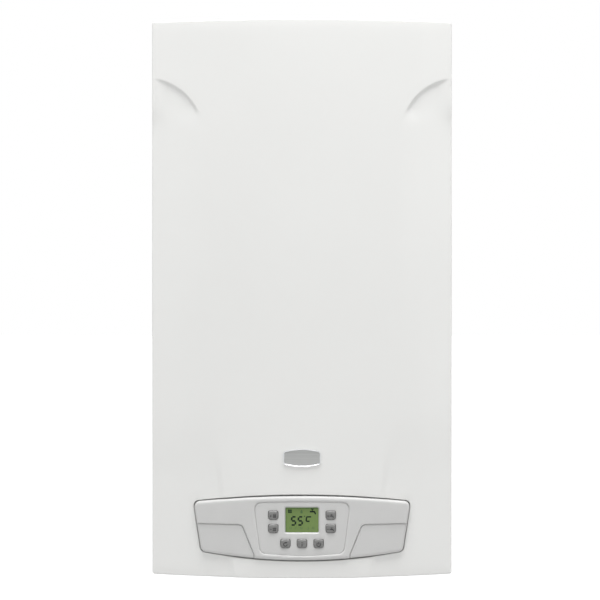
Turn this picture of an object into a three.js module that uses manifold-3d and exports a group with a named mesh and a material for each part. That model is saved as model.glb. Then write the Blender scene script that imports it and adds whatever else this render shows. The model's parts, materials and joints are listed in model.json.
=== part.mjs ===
// Wall-hung combi boiler with nothing connected to it.
// Millimetres, +Z up. The wall is the plane y = 0, the front faces -Y, +X is to the right seen from the room.
// The pieces are drawn with z = 0 at the casing's lower edge. The finished group is then lowered so that its
// origin is the middle of the wall rail's rear face.
import * as THREE from 'three';
import { mergeVertices } from 'three/addons/utils/BufferGeometryUtils.js';
import Module from 'manifold-3d';

const wasm = await Module();
wasm.setup();

// ---------------------------------------------------------------- driving dimensions

// General
const FIT = 0.3; // clearance between pieces that touch
const SHEET = 1.2; // casing and chamber sheet
const PLATE = 1.5; // base plate and chamber lid
const WELD = 1e-4; // vertices closer than this are one
const ROUND = 14; // sides of a plain round piece
const FINE_ROUND = 20; // sides of a large round piece
const SMALL_ROUND = 8; // sides of a small round piece

// Wall rail
const RAIL_WIDTH = 300;
const RAIL_HEIGHT = 36;
const RAIL_THICK = 2.5;
const RAIL_DROP = 40; // casing top down to the middle of the rail
const RAIL_HOOK_X = RAIL_WIDTH * 0.3;
const RAIL_HOOK_WIDTH = 30;
const RAIL_HOOK_RISE = 14;
const RAIL_SLOT_INSET = 20; // end of the rail to the middle of its slot
const RAIL_SLOT_X = RAIL_WIDTH / 2 - RAIL_SLOT_INSET;
const RAIL_SLOT_LENGTH = 20;
const RAIL_SLOT_WIDTH = 8;
const RAIL_SHELF_LIFT = 8; // middle of the rail up to the hooks' shelf
const BACK_STANDOFF = 4; // wall to the back panel
const HOOK_PLAY = 1.3; // back panel to the hook's lip
const HOOK_SLOT_MARGIN = 2; // room beside a hook in its slot
const HOOK_SLOT_DROP = 8; // room below a hook in its slot
const PANEL_SKIRT = 16; // back panel below the base plate

// Expansion vessel
const VESSEL_RADIUS = 160;
const VESSEL_DEPTH = 75;
const VESSEL_WALL = 1.5;
const VESSEL_BACK_GAP = 2.8; // back panel to the vessel
const VESSEL_Z_DROP = 225; // casing top down to the vessel's centre
const VESSEL_PORT_X = 40;
const VESSEL_PORT_RADIUS = 8;
const VESSEL_PORT_BORE = 5;
const VESSEL_PORT_REACH = 14; // vessel down to the port's foot
const VESSEL_PORT_ROOT = 8; // port's root inside the vessel
const VESSEL_PORT_DEEP = 26; // bore past the vessel's skin
const VESSEL_BOSS_RADIUS = 20;
const CHAMBER_BACK_GAP = 5; // vessel to the sealed chamber
const HOSE_PORT_Z = 84;
const HOSE_PORT_REACH = 35; // return group's axis back to the hose's port
const HOSE_RADIUS = 6;
const HOSE_BEND = 26;
const HOSE_DROP = 40; // straight stretch below the vessel
const HOSE_BACK_GAP = 22; // back panel to the hose
const HOSE_TURN_LIFT = 60; // pump's axis up to the hose's turn

// Combustion stack inside the sealed chamber, from its floor up
const BURNER_LIFT = 14.8;
const BURNER_HEIGHT = 33.7;
const BURNER_LENGTH = 244;
const BURNER_DEPTH = 102;
const BURNER_TRAY = 5;
const BURNER_FLANGE = 16;
const BLADE_COUNT = 12;
const BLADE_WIDTH = 10;
const FIREBOX_LENGTH = 270;
const FIREBOX_DEPTH = 126;
const FIREBOX_HEIGHT = 116;
const INSULATION = 9;
const EXCHANGER_LENGTH = 256;
const EXCHANGER_DEPTH = 118;
const EXCHANGER_HEIGHT = 62;
const FIN_COUNT = 11;
const FIN_THICK = 1.6;
const TUBE_COUNT = 3; // flat water tubes through the fins
const TUBE_WIDTH = 12;
const TUBE_HEIGHT = 30;
const BEND_LENGTH = 12; // return bends at each end
const HOOD_RIM = 10;
const HOOD_OVERHANG = 2; // hood's rim past the exchanger
const HOOD_SLOPE_HEIGHT = 38;
const HOOD_HEIGHT = 161;
const STACK_BACK_GAP = 16.8; // chamber's back wall to the firebox
const RISER_BACK_GAP = 1.3; // chamber's back wall to the hood's riser
const HOOD_RISER_DEPTH = 30;
const HOOD_RISER_HALF = 55;
const FAN_LIFT = 108; // hood's lower rim up to the fan's axis
const FAN_OFFSET = 35; // flue centre to the fan's axis
const FAN_DEPTH = 42;
const FAN_SCROLL_RADIUS = 53; // where the spiral starts
const FAN_INLET_RADIUS = 28;
const FAN_OUTLET_HALF = 25;
const FAN_SPIGOT_RADIUS = 27.5;
const FAN_SPIGOT_HEIGHT = 18;
const IMPELLER_RADIUS = 45;
const IMPELLER_INNER = 31;
const IMPELLER_DEPTH = 30;
const IMPELLER_BLADES = 10;
const FAN_SHAFT_RADIUS = 3;
const FAN_MOTOR_RADIUS = 30;
const FAN_MOTOR_LENGTH = 40;
const MANIFOLD_BAR = 12;
const MANIFOLD_GAP = 8.5; // burner to the manifold bar
const MANIFOLD_LIFT = 14; // burner's underside up to the bar's axis
const MANIFOLD_STUB = 6; // inlet below the bar
const NOZZLE_RADIUS = 3;
const CHAMBER_FRONT_GAP = 5.5; // manifold bar to the lid
const CHAMBER_HEADROOM = 20; // fan outlet to the chamber's roof
const PIPE_RADIUS = 9;
const PIPE_BEND = 17;
const PIPE_OUT = 24.5; // return bends to the centre of the rising pipes
const PIPE_SIDE_GAP = 13.3; // rising pipes to the chamber's side
const CHAMBER_SIDE_GAP = 10.8; // chamber to the side panels
const EAR_HEIGHT = 20; // brackets between the chamber and the side panels
const EAR_DEPTH = 20;
const EAR_LIFT = 20; // chamber's floor and roof to the ears
const EAR_SETBACK = 10; // side panels' front edge to the ears
const LID_EDGE = 3; // lid past the chamber
const BEAD_MARGIN = 30; // chamber's side to the lid's beads
const BEAD_HALF = 9;
const BEAD_CORNER = 8;
const BEAD_PROUD = 2;

// Casing around it
const TOP_SPACE = 14; // chamber roof to the casing top
const LOWER_SPACE = 273.7; // base plate to the chamber floor
const BASE_Z = 28; // underside of the base plate
const COVER_SETBACK = 13.7; // chamber lid to the cover's front corners
const COVER_BULGE = 30; // the cover's middle stands this far in front of its corners
const COVER_SHEET = 1.5;
const COVER_RETURN = 60; // depth of the cover's side walls
const COVER_CORNER = 3;
const COVER_RECESS = 2.5; // the cover's flanks lie this far behind its tongue
const COVER_FOOT = 20; // the lower flange stops this far in front of the seam
const SEAM_GAP = 1.5; // cover to the side panels
const SIDE_FLANGE = 9;
const LIP_OVERLAP = 17; // top panel's lip under the cover
const HOLE_GAP = 1; // room round what passes through a sheet
const BASE_LIP = 30; // height of the base plate's front lip
const BASE_FLANGE = 18; // height of the base plate's side flanges

// Crease around the cover's tongue, seen from the front
const BROW_EDGE_DROP = 73; // casing top down to the crease at the cover's sides
const BROW_BEND_X = 146;
const BROW_BEND_DROP = 76;
const TONGUE_TOP_HALF = 135;
const TONGUE_TOP_DROP = 125;
const TONGUE_BEND_X = 127.5;
const TONGUE_BEND_Z = 250;
const TONGUE_FOOT_HALF = 88;

// Control panel moulding
const FASCIA_TOP_HALF = 141;
const FASCIA_BOTTOM_HALF = 133;
const FASCIA_CROWN_Z = 110;
const FASCIA_SHOULDER_Z = 101;
const FASCIA_FOOT_Z = 33;
const FASCIA_BOTTOM_Z = 24.5;
const FASCIA_CORNER = 8;
const FASCIA_PROUD = 4;
const FASCIA_WALL = 4;
const FASCIA_GAP = 1.6; // moulding to the cover's opening
const FASCIA_GAP_BELOW = 0.5; // added to the gap along the lower edge
const WING_TOP_Z = 71;
const WING_INNER_HALF = 80;
const WING_FOOT_HALF = 57;
const WING_SINK = 1.4;
const KEY_TOP_HALF = 61.5;
const KEY_FOOT_HALF = 55.5;
const KEY_TOP_Z = 101;
const KEY_CROWN_Z = 102;
const KEY_FOOT_Z = 32.5;
const KEY_BOTTOM_Z = 30.5;
const KEY_CORNER = 11;
const KEY_POCKET = 2.2;
const KEY_SINK = 0.4; // key panel below the moulding's surface
const KEY_GAP = 0.5;
const LCD_HALF = 21.6;
const LCD_BOTTOM_Z = 60.6;
const LCD_TOP_Z = 93;
const LCD_CORNER = 2;
const BUTTON_WIDTH = 13;
const BUTTON_HEIGHT = 11.4;
const BUTTON_TOP_CORNER = 2.5;
const BUTTON_FOOT_CORNER = 4;
const BUTTON_PROUD = 1.6;
const BUTTON_GAP = 0.4;
const BUTTON_FLANGE = 1.2; // how far the flange reaches past the hole, and its thickness
const BUTTON_TRAVEL = 1.2;
const BUTTON_COLUMN_X = 37.4;
const BUTTON_UPPER_Z = 83;
const BUTTON_LOWER_Z = 65.7;
const BUTTON_ROW_Z = 46.3;
const BUTTON_PITCH = 21.6;
const BUTTON_STEM_RADIUS = 2.5;
const DISPLAY_SETBACK = 11; // moulding's rear surface to the display board
const BOARD_THICK = 1.6;

// Control box behind the moulding
const CONTROL_HALF = 136;
const CONTROL_BOTTOM_Z = 36;
const CONTROL_TOP_Z = 104;
const CONTROL_WALL = 2.5;
const CONTROL_REAR_GAP = 5.1; // base plate's front lip to the control box
const CONTROL_RIM_SETBACK = 3; // cover's front corners to the box's open rim
const CONTROL_FOOT_X = 102;
const CONTROL_FOOT_WIDTH = 24;
const CONTROL_FOOT_LIFT = 2; // box's underside up to its feet
const CONTROL_FOOT_HEIGHT = 18;
const CONTROL_SLOTS = 7; // air slots in the box's back
const CONTROL_SLOT_PITCH = 14;
const CONTROL_SLOT_WIDTH = 8;
const CONTROL_SLOT_HEIGHT = 4;
const CONTROL_SLOT_DROP = 12; // box's top down to the slots
const BOARD_HALF = 122;
const BOARD_MARGIN_Z = 6;
const BOARD_STANDOFF = 14;
const DISPLAY_BOARD_HALF = 56;
const POST_X = 50;
const POST_INSET = 6; // board's edge to a post's axis
const POST_RADIUS = 3;
const TRANSFORMER = { x: -93, width: 38, depth: 28, lift: 8, drop: 12 };
const RELAY = { x: 90.5, count: 3, pitch: 18, width: 13, depth: 16, lift: 22, height: 20 };
const CAPACITOR = { x: -26, count: 2, pitch: 16, radius: 6, depth: 22, drop: 14 };
const SOCKET = { x: 1, count: 3, pitch: 30, width: 22, depth: 12, lift: 2, height: 10 };

// Badge plate and cover screws
const BADGE_WIDTH = 48.6;
const BADGE_HEIGHT = 20.3;
const BADGE_SIDE_HEIGHT = 15.7;
const BADGE_THICK = 1.5;
const BADGE_Z = 159;
const SCREW_X = 160;
const SCREW_FRONT = 27; // seam to the screws
const SCREW_HEAD_RADIUS = 5;
const SCREW_RADIUS = 2;
const SCREW_HEAD = 2.5;
const SCREW_TAB_LIFT = 4;
const SCREW_TAB_HALF = 10;
const SCREW_TAB_REACH = 8; // screw's axis to the tab's front edge
const SCREW_SLOT = 1.2;
const SCREW_TAIL = 3; // shank above the tab

// Water and gas groups in the lower space
const PORT_DEPTH = 95; // wall to the pipe connections
const PORT_PITCH = 65;
const PORT_FOOT_Z = -20;
const PORT_RADIUS = 13;
const PORT_BORE = 9;
const NUT_RADIUS = 17;
const NUT_HEIGHT = 16;
const NUT_GAP = 0.5; // nut to the base plate
const COLUMN_RADIUS = 17;
const BRIDGE_RADIUS = 11;
const BRIDGE_Z = 62;
const VALVE_TOP_Z = 150;
const VALVE_BORE = 12;
const VALVE_FLOOR = 20; // valve's top down to the end of the port's bore
const VALVE_SUMP = 6; // bridge's axis down to the valve bore's foot
const STEM_RADIUS = 3;
const STEM_PLUG_RADIUS = 10;
const STEM_PLUG_HEIGHT = 8;
const STEM_TRAVEL = 8;
const STEM_RISE = 16; // stem above the valve's top
const STEM_LOW_PLUG = 8; // bridge's axis up to the lower plug
const STEM_HIGH_PLUG = 36; // valve's top down to the upper plug
const ACTUATOR_HALF = 22;
const ACTUATOR_HEIGHT = 62;
const ACTUATOR_CORNER = 5;
const ACTUATOR_COLLAR = 8;
const ACTUATOR_CROWN = 5;
const ACTUATOR_CROWN_INSET = 6;
const FLOW_PORT_Z = 125;
const FLOW_PORT_REACH = 30;
const SENSOR_TOP_Z = 118;
const SENSOR_RADIUS = 14;
const SENSOR_BORE = 10;
const SENSOR_ROOF = 6; // sensor column's top down to its bore
const SENSOR_SUMP = 20; // turbine's middle down to its bore's foot
const HOT_COLUMN_RISE = 14; // plate exchanger's port up to the column's top
const HOT_BORE_RISE = 6;
const TURBINE_RADIUS = 8.6;
const TURBINE_Z = 81;
const TURBINE_HEIGHT = 14;
const TURBINE_BAR_GAP = 5; // turbine to the bars that carry it
const TURBINE_BAR = 2;
const PLATE_HX_HALF = 88;
const PLATE_HX_DEPTH = 50;
const PLATE_HX_BOTTOM_Z = 66;
const PLATE_HX_TOP_Z = 141;
const PLATE_HX_RIBS = 6;
const PLATE_HX_PORT_Z = 100;
const PLATE_HX_GAP = 6; // castings' columns to the plate heat exchanger
const PUMP_X = 118;
const PUMP_LIFT = 85; // return group's flange up to the pump's axis
const PUMP_RADIUS = 48;
const PUMP_DEPTH = 50;
const PUMP_WALL = 7;
const PUMP_SEAT_Z = 100;
const PUMP_OUTLET_X = 150;
const PUMP_OUTLET_LIFT = 60;
const PUMP_OUTLET_RADIUS = 14;
const PUMP_ROTOR_RADIUS = 34;
const PUMP_ROTOR_DEPTH = 14;
const PUMP_SHAFT_RADIUS = 5;
const PUMP_SHAFT_REACH = 30; // housing's front to the shaft's tip
const PUMP_SHAFT_END_GAP = 2;
const PUMP_NECK_DROP = 30; // pump's axis down to the inlet neck's top
const PUMP_MOTOR_RADIUS = 41;
const PUMP_MOTOR_LENGTH = 66;
const TERMINAL_OUT = 12; // terminal box beyond the motor's side
const TERMINAL_IN = 16; // terminal box into the motor
const TERMINAL_TIP_GAP = 10;
const TERMINAL_BACK_GAP = 12;
const TERMINAL_DROP = 28;
const TERMINAL_RISE = 24;
const VENT_X = 92;
const VENT_RADIUS = 14;
const VENT_HEIGHT = 42;
const VENT_BORE = 5;
const VENT_SEAT_LIFT = 54; // pump's axis up to the vent's seat
const RELIEF_X = 98;
const RELIEF_Z = 66;
const RELIEF_REACH = 45;
const RELIEF_KNOB_RADIUS = 15;
const RELIEF_KNOB_LENGTH = 20;
const TAP_DEPTH = 132; // wall to the filling tap
const TAP_RADIUS = 8;
const TAP_KNOB_RADIUS = 12;
const TAP_KNOB_FOOT_Z = -18;
const TAP_KNOB_TOP_Z = 22;
const GAUGE_X = -98;
const GAUGE_DEPTH = 150;
const GAUGE_RADIUS = 20;
const GAUGE_FOOT_Z = -10;
const GAUGE_TOP_Z = 14;
const GAUGE_DIAL_SINK = 7;
const GAUGE_RIM = 2;
const GAUGE_STEM_RADIUS = 5;
const GAUGE_STEM_TAIL = 12; // stem above the base plate
const NEEDLE_LENGTH = 13;
const NEEDLE_ZERO = 45; // degrees from +Y at which the needle rests on zero
const GAS_BODY_HALF = 28;
const GAS_BODY_BACK = 83; // wall to the gas valve's rear face
const GAS_BODY_DEPTH = 75;
const GAS_BODY_BOTTOM_Z = 118;
const GAS_BODY_TOP_Z = 182;
const GAS_OUTLET_DEPTH = 143;
const GAS_PIPE_RADIUS = 8;
const GAS_PIPE_WALL = 1.5;
const GAS_PIPE_BEND = 20;
const GAS_INLET_NUT = 8; // gas valve down to its inlet nut's foot
const GAS_OUTLET_NUT = 12; // gas valve up to its outlet nut's top
const GAS_COIL_RADIUS = 17;
const GAS_COIL_X = 6;
const GAS_COIL_GAP = 22; // gas valve's rear face to the coil's axis
const GAS_COIL_RISE = 32;
const REGULATOR_RADIUS = 18;
const REGULATOR_REACH = 26; // gas valve's front face to the regulator's
const REGULATOR_CAP_RADIUS = 7;
const REGULATOR_CAP_REACH = 6;
const GAS_PLUG_OUT = 16; // gas valve's side to the plug's end
const GAS_PLUG_NEAR = 12; // gas valve's front face to the plug's
const GAS_PLUG_FAR = 52;
const GAS_PLUG_LIFT = 14;
const GAS_PLUG_DROP = 10;
const GAS_RISE = 32; // straight stretch above the gas valve
const GAS_APPROACH = 28; // straight stretch below the chamber
const FLOW_LEAD = 32; // straight stretch out of the flow group
const FLOW_RISE = 60; // flow port up to where the pipe stands upright
const RETURN_LEAD = 16; // straight stretch above the pump
const RETURN_APPROACH = 24; // straight stretch below the chamber

// Sight glass, ignition electrode, air pressure switch, flue collar
const SIGHT_X = -60;
const SIGHT_LIFT = 58; // firebox floor to the sight glass
const SIGHT_RADIUS = 18;
const SIGHT_HOLE = 11;
const SPARK_X = 72;
const SPARK_LIFT = 16;
const SPARK_RADIUS = 4;
const SPARK_REACH = 34; // insulation's inner face to the electrode's tip
const SWITCH_SIDE_GAP = 63; // chamber's side wall to the switch's axis
const SWITCH_DROP = 66; // chamber roof down to the switch's axis
const SWITCH_RADIUS = 29;
const SWITCH_DEPTH = 26;
const NIPPLE_REACH = 8; // fan's and switch's nipples past their bodies
const SWITCH_NIPPLE_DEPTH = 11; // chamber's back wall to the switch's nipple
const FAN_NIPPLE_DROP = 18; // fan's outlet down to its nipple
const TUBE_DROP = 18; // pressure tube below the switch's nipple
const TUBE_SWING = 45; // pressure tube's first stretch towards the flue
const TUBE_LEAD = 24; // pressure tube's last stretch
const TUBE_SAG = 10;
const TUBE_BEND = 14;
const HOSE_SMALL = 3.5;
const FLUE_RADIUS = 50;
const FLUE_WALL = 1.5;
const FLUE_PIPE_RADIUS = 30;
const FLUE_RISE = 12; // collar above the casing top
const FLUE_FLANGE = 8; // width of the flange outside the sleeve
const FLUE_FLANGE_THICK = 2;
const FLUE_SPOKE_HEIGHT = 8;

// ---------------------------------------------------------------- places worked out from the sizes

const DEPTH_BACK = BACK_STANDOFF + SHEET; // wall to the back panel's inner face
const VESSEL_BACK = DEPTH_BACK + VESSEL_BACK_GAP;
const VESSEL_FRONT = VESSEL_BACK + VESSEL_DEPTH;
const CHAMBER_BACK = VESSEL_FRONT + CHAMBER_BACK_GAP;
const CHAMBER_INNER_BACK = CHAMBER_BACK + SHEET;
const RISER_FRONT = CHAMBER_INNER_BACK + RISER_BACK_GAP + HOOD_RISER_DEPTH;
const FAN_BACK = RISER_FRONT + FIT;
const FAN_FRONT = FAN_BACK + FAN_DEPTH;
const FLUE_DEPTH = (FAN_BACK + FAN_FRONT) / 2;
const FIREBOX_BACK = CHAMBER_INNER_BACK + STACK_BACK_GAP;
const FIREBOX_FRONT = FIREBOX_BACK + FIREBOX_DEPTH;
const STACK_DEPTH = FIREBOX_BACK + FIREBOX_DEPTH / 2; // middle of burner, firebox and exchanger
const BURNER_FRONT = STACK_DEPTH + BURNER_DEPTH / 2;
const MANIFOLD_BACK = BURNER_FRONT + MANIFOLD_GAP;
const MANIFOLD_FRONT = Math.max(MANIFOLD_BACK, FIREBOX_FRONT) + MANIFOLD_BAR;
const CHAMBER_FRONT = MANIFOLD_FRONT + CHAMBER_FRONT_GAP;
const LID_FRONT = CHAMBER_FRONT + FIT + PLATE;
const CASING_DEPTH = LID_FRONT + COVER_SETBACK; // wall to the cover's front corners
const SEAM_DEPTH = CASING_DEPTH - COVER_RETURN;
const SIDE_FRONT = SEAM_DEPTH - SEAM_GAP;

const EXCHANGER_HALF = EXCHANGER_LENGTH / 2;
const BEND_END = EXCHANGER_HALF + BEND_LENGTH;
const RISING_PIPE_X = BEND_END + PIPE_OUT;
const CHAMBER_HALF = RISING_PIPE_X + PIPE_RADIUS + PIPE_SIDE_GAP + SHEET;
const HALF_WIDTH = CHAMBER_HALF + CHAMBER_SIDE_GAP + SHEET;
const INNER_HALF = HALF_WIDTH - SHEET;

const BASE_TOP = BASE_Z + PLATE;
const CHAMBER_Z = BASE_TOP + LOWER_SPACE;
const CHAMBER_FLOOR = CHAMBER_Z + SHEET;
const BURNER_Z = CHAMBER_FLOOR + BURNER_LIFT;
const FIREBOX_Z = BURNER_Z + BURNER_HEIGHT + FIT;
const FIREBOX_TOP = FIREBOX_Z + FIREBOX_HEIGHT;
const EXCHANGER_Z = FIREBOX_TOP + FIT;
const EXCHANGER_TOP = EXCHANGER_Z + EXCHANGER_HEIGHT;
const EXCHANGER_AXIS = EXCHANGER_Z + EXCHANGER_HEIGHT / 2;
const HOOD_Z = EXCHANGER_TOP + FIT;
const HOOD_TOP = HOOD_Z + HOOD_HEIGHT;
const FAN_X = -FAN_OFFSET;
const FAN_Z = HOOD_Z + FAN_LIFT;
const FAN_OUTLET_Z = HOOD_TOP + 2;
const CHAMBER_TOP = FAN_OUTLET_Z + CHAMBER_HEADROOM + SHEET;
const CASING_HEIGHT = CHAMBER_TOP + TOP_SPACE;
const RAIL_Z = CASING_HEIGHT - RAIL_DROP;
const RAIL_SHELF_Z = RAIL_Z + RAIL_SHELF_LIFT;
const VESSEL_Z = CASING_HEIGHT - VESSEL_Z_DROP;
const VESSEL_Y = -(VESSEL_BACK + VESSEL_FRONT) / 2;
const VESSEL_PORT_FOOT_Z = VESSEL_Z - Math.sqrt(VESSEL_RADIUS ** 2 - VESSEL_PORT_X ** 2) - VESSEL_PORT_REACH;
const MANIFOLD_Y = -(MANIFOLD_FRONT - MANIFOLD_BAR / 2);
const MANIFOLD_Z = BURNER_Z + MANIFOLD_LIFT;
const MANIFOLD_FOOT_Z = MANIFOLD_Z - MANIFOLD_BAR / 2 - MANIFOLD_STUB;
const SHEET_FRONT = SIDE_FRONT - SHEET - FIT; // front edge of the top panel and the base plate

const PORT_Y = -PORT_DEPTH;
const FLOW_X = -2 * PORT_PITCH;
const HOT_X = -PORT_PITCH;
const COLD_X = PORT_PITCH;
const RETURN_X = 2 * PORT_PITCH;
const PUMP_Z = PUMP_SEAT_Z + PUMP_LIFT;
const PUMP_FRONT = PORT_DEPTH + PUMP_DEPTH / 2;
const PUMP_OUTLET_Z = PUMP_Z + PUMP_OUTLET_LIFT;
const VENT_SEAT_Z = PUMP_Z + VENT_SEAT_LIFT;
const PLATE_HX_FRONT = PORT_DEPTH - COLUMN_RADIUS - PLATE_HX_GAP;
const HOSE_PORT_Y = -(PORT_DEPTH - HOSE_PORT_REACH);

const CONTROL_REAR = SIDE_FRONT - SEAM_GAP + CONTROL_REAR_GAP;
const CONTROL_RIM = CASING_DEPTH - CONTROL_RIM_SETBACK;
const DISPLAY_DEPTH = CASING_DEPTH + COVER_BULGE + FASCIA_PROUD - FASCIA_WALL - DISPLAY_SETBACK;
const SCREW_Y = -(SEAM_DEPTH + SCREW_FRONT);
const SPARK_Z = FIREBOX_Z + SPARK_LIFT;
const SIGHT_Z = FIREBOX_Z + SIGHT_LIFT;
const SWITCH_Z = CHAMBER_TOP - SWITCH_DROP;
const SWITCH_X = CHAMBER_HALF - SWITCH_SIDE_GAP;

// ---------------------------------------------------------------- solids

const AXIS_FRAMES = {
  x: new THREE.Matrix4().makeBasis(
    new THREE.Vector3(0, 1, 0), new THREE.Vector3(0, 0, 1), new THREE.Vector3(1, 0, 0)),
  y: new THREE.Matrix4().makeBasis(
    new THREE.Vector3(1, 0, 0), new THREE.Vector3(0, 0, 1), new THREE.Vector3(0, -1, 0)),
  z: new THREE.Matrix4(),
};

// Signed volume of a triangle list: negative when its faces point inwards.
function signedVolume(positions, corners) {
  const a = new THREE.Vector3();
  const b = new THREE.Vector3();
  const c = new THREE.Vector3();
  let sum = 0;
  for (let i = 0; i < corners.length; i += 3) {
    a.fromArray(positions, 3 * corners[i]);
    b.fromArray(positions, 3 * corners[i + 1]);
    c.fromArray(positions, 3 * corners[i + 2]);
    sum += a.dot(b.cross(c));
  }
  return sum;
}

function toSolid(geometry) {
  const bare = geometry.clone();
  bare.deleteAttribute('normal');
  bare.deleteAttribute('uv');
  const merged = mergeVertices(bare, WELD);
  const positions = merged.attributes.position.array;
  const index = merged.index.array;
  const corners = [];
  for (let i = 0; i < index.length; i += 3) {
    const [a, b, c] = [index[i], index[i + 1], index[i + 2]];
    if (a !== b && b !== c && c !== a) corners.push(a, b, c);
  }
  if (signedVolume(positions, corners) < 0) corners.reverse();
  return new wasm.Manifold(new wasm.Mesh({
    numProp: 3,
    vertProperties: new Float32Array(positions),
    triVerts: new Uint32Array(corners),
  }));
}

// Puts a shape whose length runs along its own +Z between two places on a world axis.
function stand(geometry, axis, a, b, from, to) {
  geometry.applyMatrix4(AXIS_FRAMES[axis]);
  if (axis === 'x') geometry.translate(from, a, b);
  if (axis === 'y') geometry.translate(a, to, b);
  if (axis === 'z') geometry.translate(a, b, from);
  return toSolid(geometry);
}

function block(x0, x1, y0, y1, z0, z1) {
  const geometry = new THREE.BoxGeometry(x1 - x0, y1 - y0, z1 - z0);
  geometry.translate((x0 + x1) / 2, (y0 + y1) / 2, (z0 + z1) / 2);
  return toSolid(geometry);
}

function rod(axis, radius, a, b, from, to, sides = ROUND) {
  const geometry = new THREE.CylinderGeometry(radius, radius, to - from, sides);
  geometry.rotateX(Math.PI / 2);
  geometry.translate(0, 0, (to - from) / 2);
  return stand(geometry, axis, a, b, from, to);
}

function prism(axis, shape, from, to, a = 0, b = 0, curveSegments = 8) {
  const geometry = new THREE.ExtrudeGeometry(shape, { depth: to - from, bevelEnabled: false, curveSegments });
  return stand(geometry, axis, a, b, from, to);
}

// A turned piece: its profile is a list of [radius, place along the axis].
function turned(axis, profile, a, b, sides = ROUND) {
  const sign = axis === 'y' ? -1 : 1;
  const points = profile.map(([radius, along]) => new THREE.Vector2(radius, sign * along));
  const geometry = new THREE.LatheGeometry(points, sides);
  geometry.rotateX(Math.PI / 2);
  return stand(geometry, axis, a, b, 0, 0);
}

// A round pipe through a list of corners, each rounded by the bend radius.
function pipe(corners, radius, bend, steps, sides = 8) {
  const points = corners.map((corner) => new THREE.Vector3(...corner));
  const path = new THREE.CurvePath();
  let from = points[0];
  for (let i = 1; i < points.length - 1; i += 1) {
    const back = points[i - 1].clone().sub(points[i]);
    const ahead = points[i + 1].clone().sub(points[i]);
    const start = back.setLength(Math.min(bend, back.length() / 2)).add(points[i]);
    const end = ahead.setLength(Math.min(bend, ahead.length() / 2)).add(points[i]);
    path.add(new THREE.LineCurve3(from, start));
    path.add(new THREE.QuadraticBezierCurve3(start, points[i], end));
    from = end;
  }
  path.add(new THREE.LineCurve3(from, points[points.length - 1]));
  const section = new THREE.Shape();
  for (let i = 0; i < sides; i += 1) {
    const turn = (2 * Math.PI * i) / sides;
    const point = [radius * Math.cos(turn), radius * Math.sin(turn)];
    if (i === 0) section.moveTo(...point);
    else section.lineTo(...point);
  }
  return toSolid(new THREE.ExtrudeGeometry(section, { extrudePath: path, steps }));
}

function outline(points) {
  return new THREE.Shape(points.map(([u, v]) => new THREE.Vector2(u, v)));
}

function roundedRect(u0, u1, v0, v1, r) {
  const shape = new THREE.Shape();
  shape.moveTo(u0 + r, v0);
  shape.lineTo(u1 - r, v0);
  shape.quadraticCurveTo(u1, v0, u1, v0 + r);
  shape.lineTo(u1, v1 - r);
  shape.quadraticCurveTo(u1, v1, u1 - r, v1);
  shape.lineTo(u0 + r, v1);
  shape.quadraticCurveTo(u0, v1, u0, v1 - r);
  shape.lineTo(u0, v0 + r);
  shape.quadraticCurveTo(u0, v0, u0 + r, v0);
  return shape;
}

function join(solids) {
  return solids.reduce((whole, solid) => whole.add(solid));
}

function cut(solid, tools) {
  return tools.reduce((rest, tool) => rest.subtract(tool), solid);
}

function sides(maker) {
  return [maker(-1), maker(1)];
}

// Evenly spaced places about a middle.
function row(count, pitch, middle = 0) {
  return Array.from({ length: count }, (_, i) => middle + pitch * (i - (count - 1) / 2));
}

// A box given for the right side, and mirrored when the side is -1.
function sideBlock(side, x0, x1, y0, y1, z0, z1) {
  return block(Math.min(side * x0, side * x1), Math.max(side * x0, side * x1), y0, y1, z0, z1);
}

// ---------------------------------------------------------------- bowed front surface

// Depth of the bowed surface at x; proud moves it forward.
function frontAt(x, proud = 0) {
  return -(CASING_DEPTH + COVER_BULGE * (1 - (x / HALF_WIDTH) ** 2) + proud);
}

// Plan of everything behind the bowed surface, between two sides, back to the depth called rear.
function bowedPlan(half, proud, rear, corner = 0.5) {
  const steps = 16;
  const shape = new THREE.Shape();
  const start = half - corner;
  shape.moveTo(half, -rear);
  shape.lineTo(half, frontAt(half, proud) + corner);
  shape.quadraticCurveTo(half, frontAt(half, proud), start, frontAt(start, proud));
  for (let i = 1; i <= steps; i += 1) {
    const x = start - (2 * start * i) / steps;
    shape.lineTo(x, frontAt(x, proud));
  }
  shape.quadraticCurveTo(-half, frontAt(half, proud), -half, frontAt(half, proud) + corner);
  shape.lineTo(-half, -rear);
  return prism('z', shape, -1, CASING_HEIGHT + 1, 0, 0, 3);
}

// Everything in front of the seam inside an outline drawn as seen from the room.
function throughFront(shape, rear = SEAM_DEPTH - 20, curveSegments = 8) {
  return prism('y', shape, frontAt(0) - 20, -rear, 0, 0, curveSegments);
}

// ---------------------------------------------------------------- casing

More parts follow.
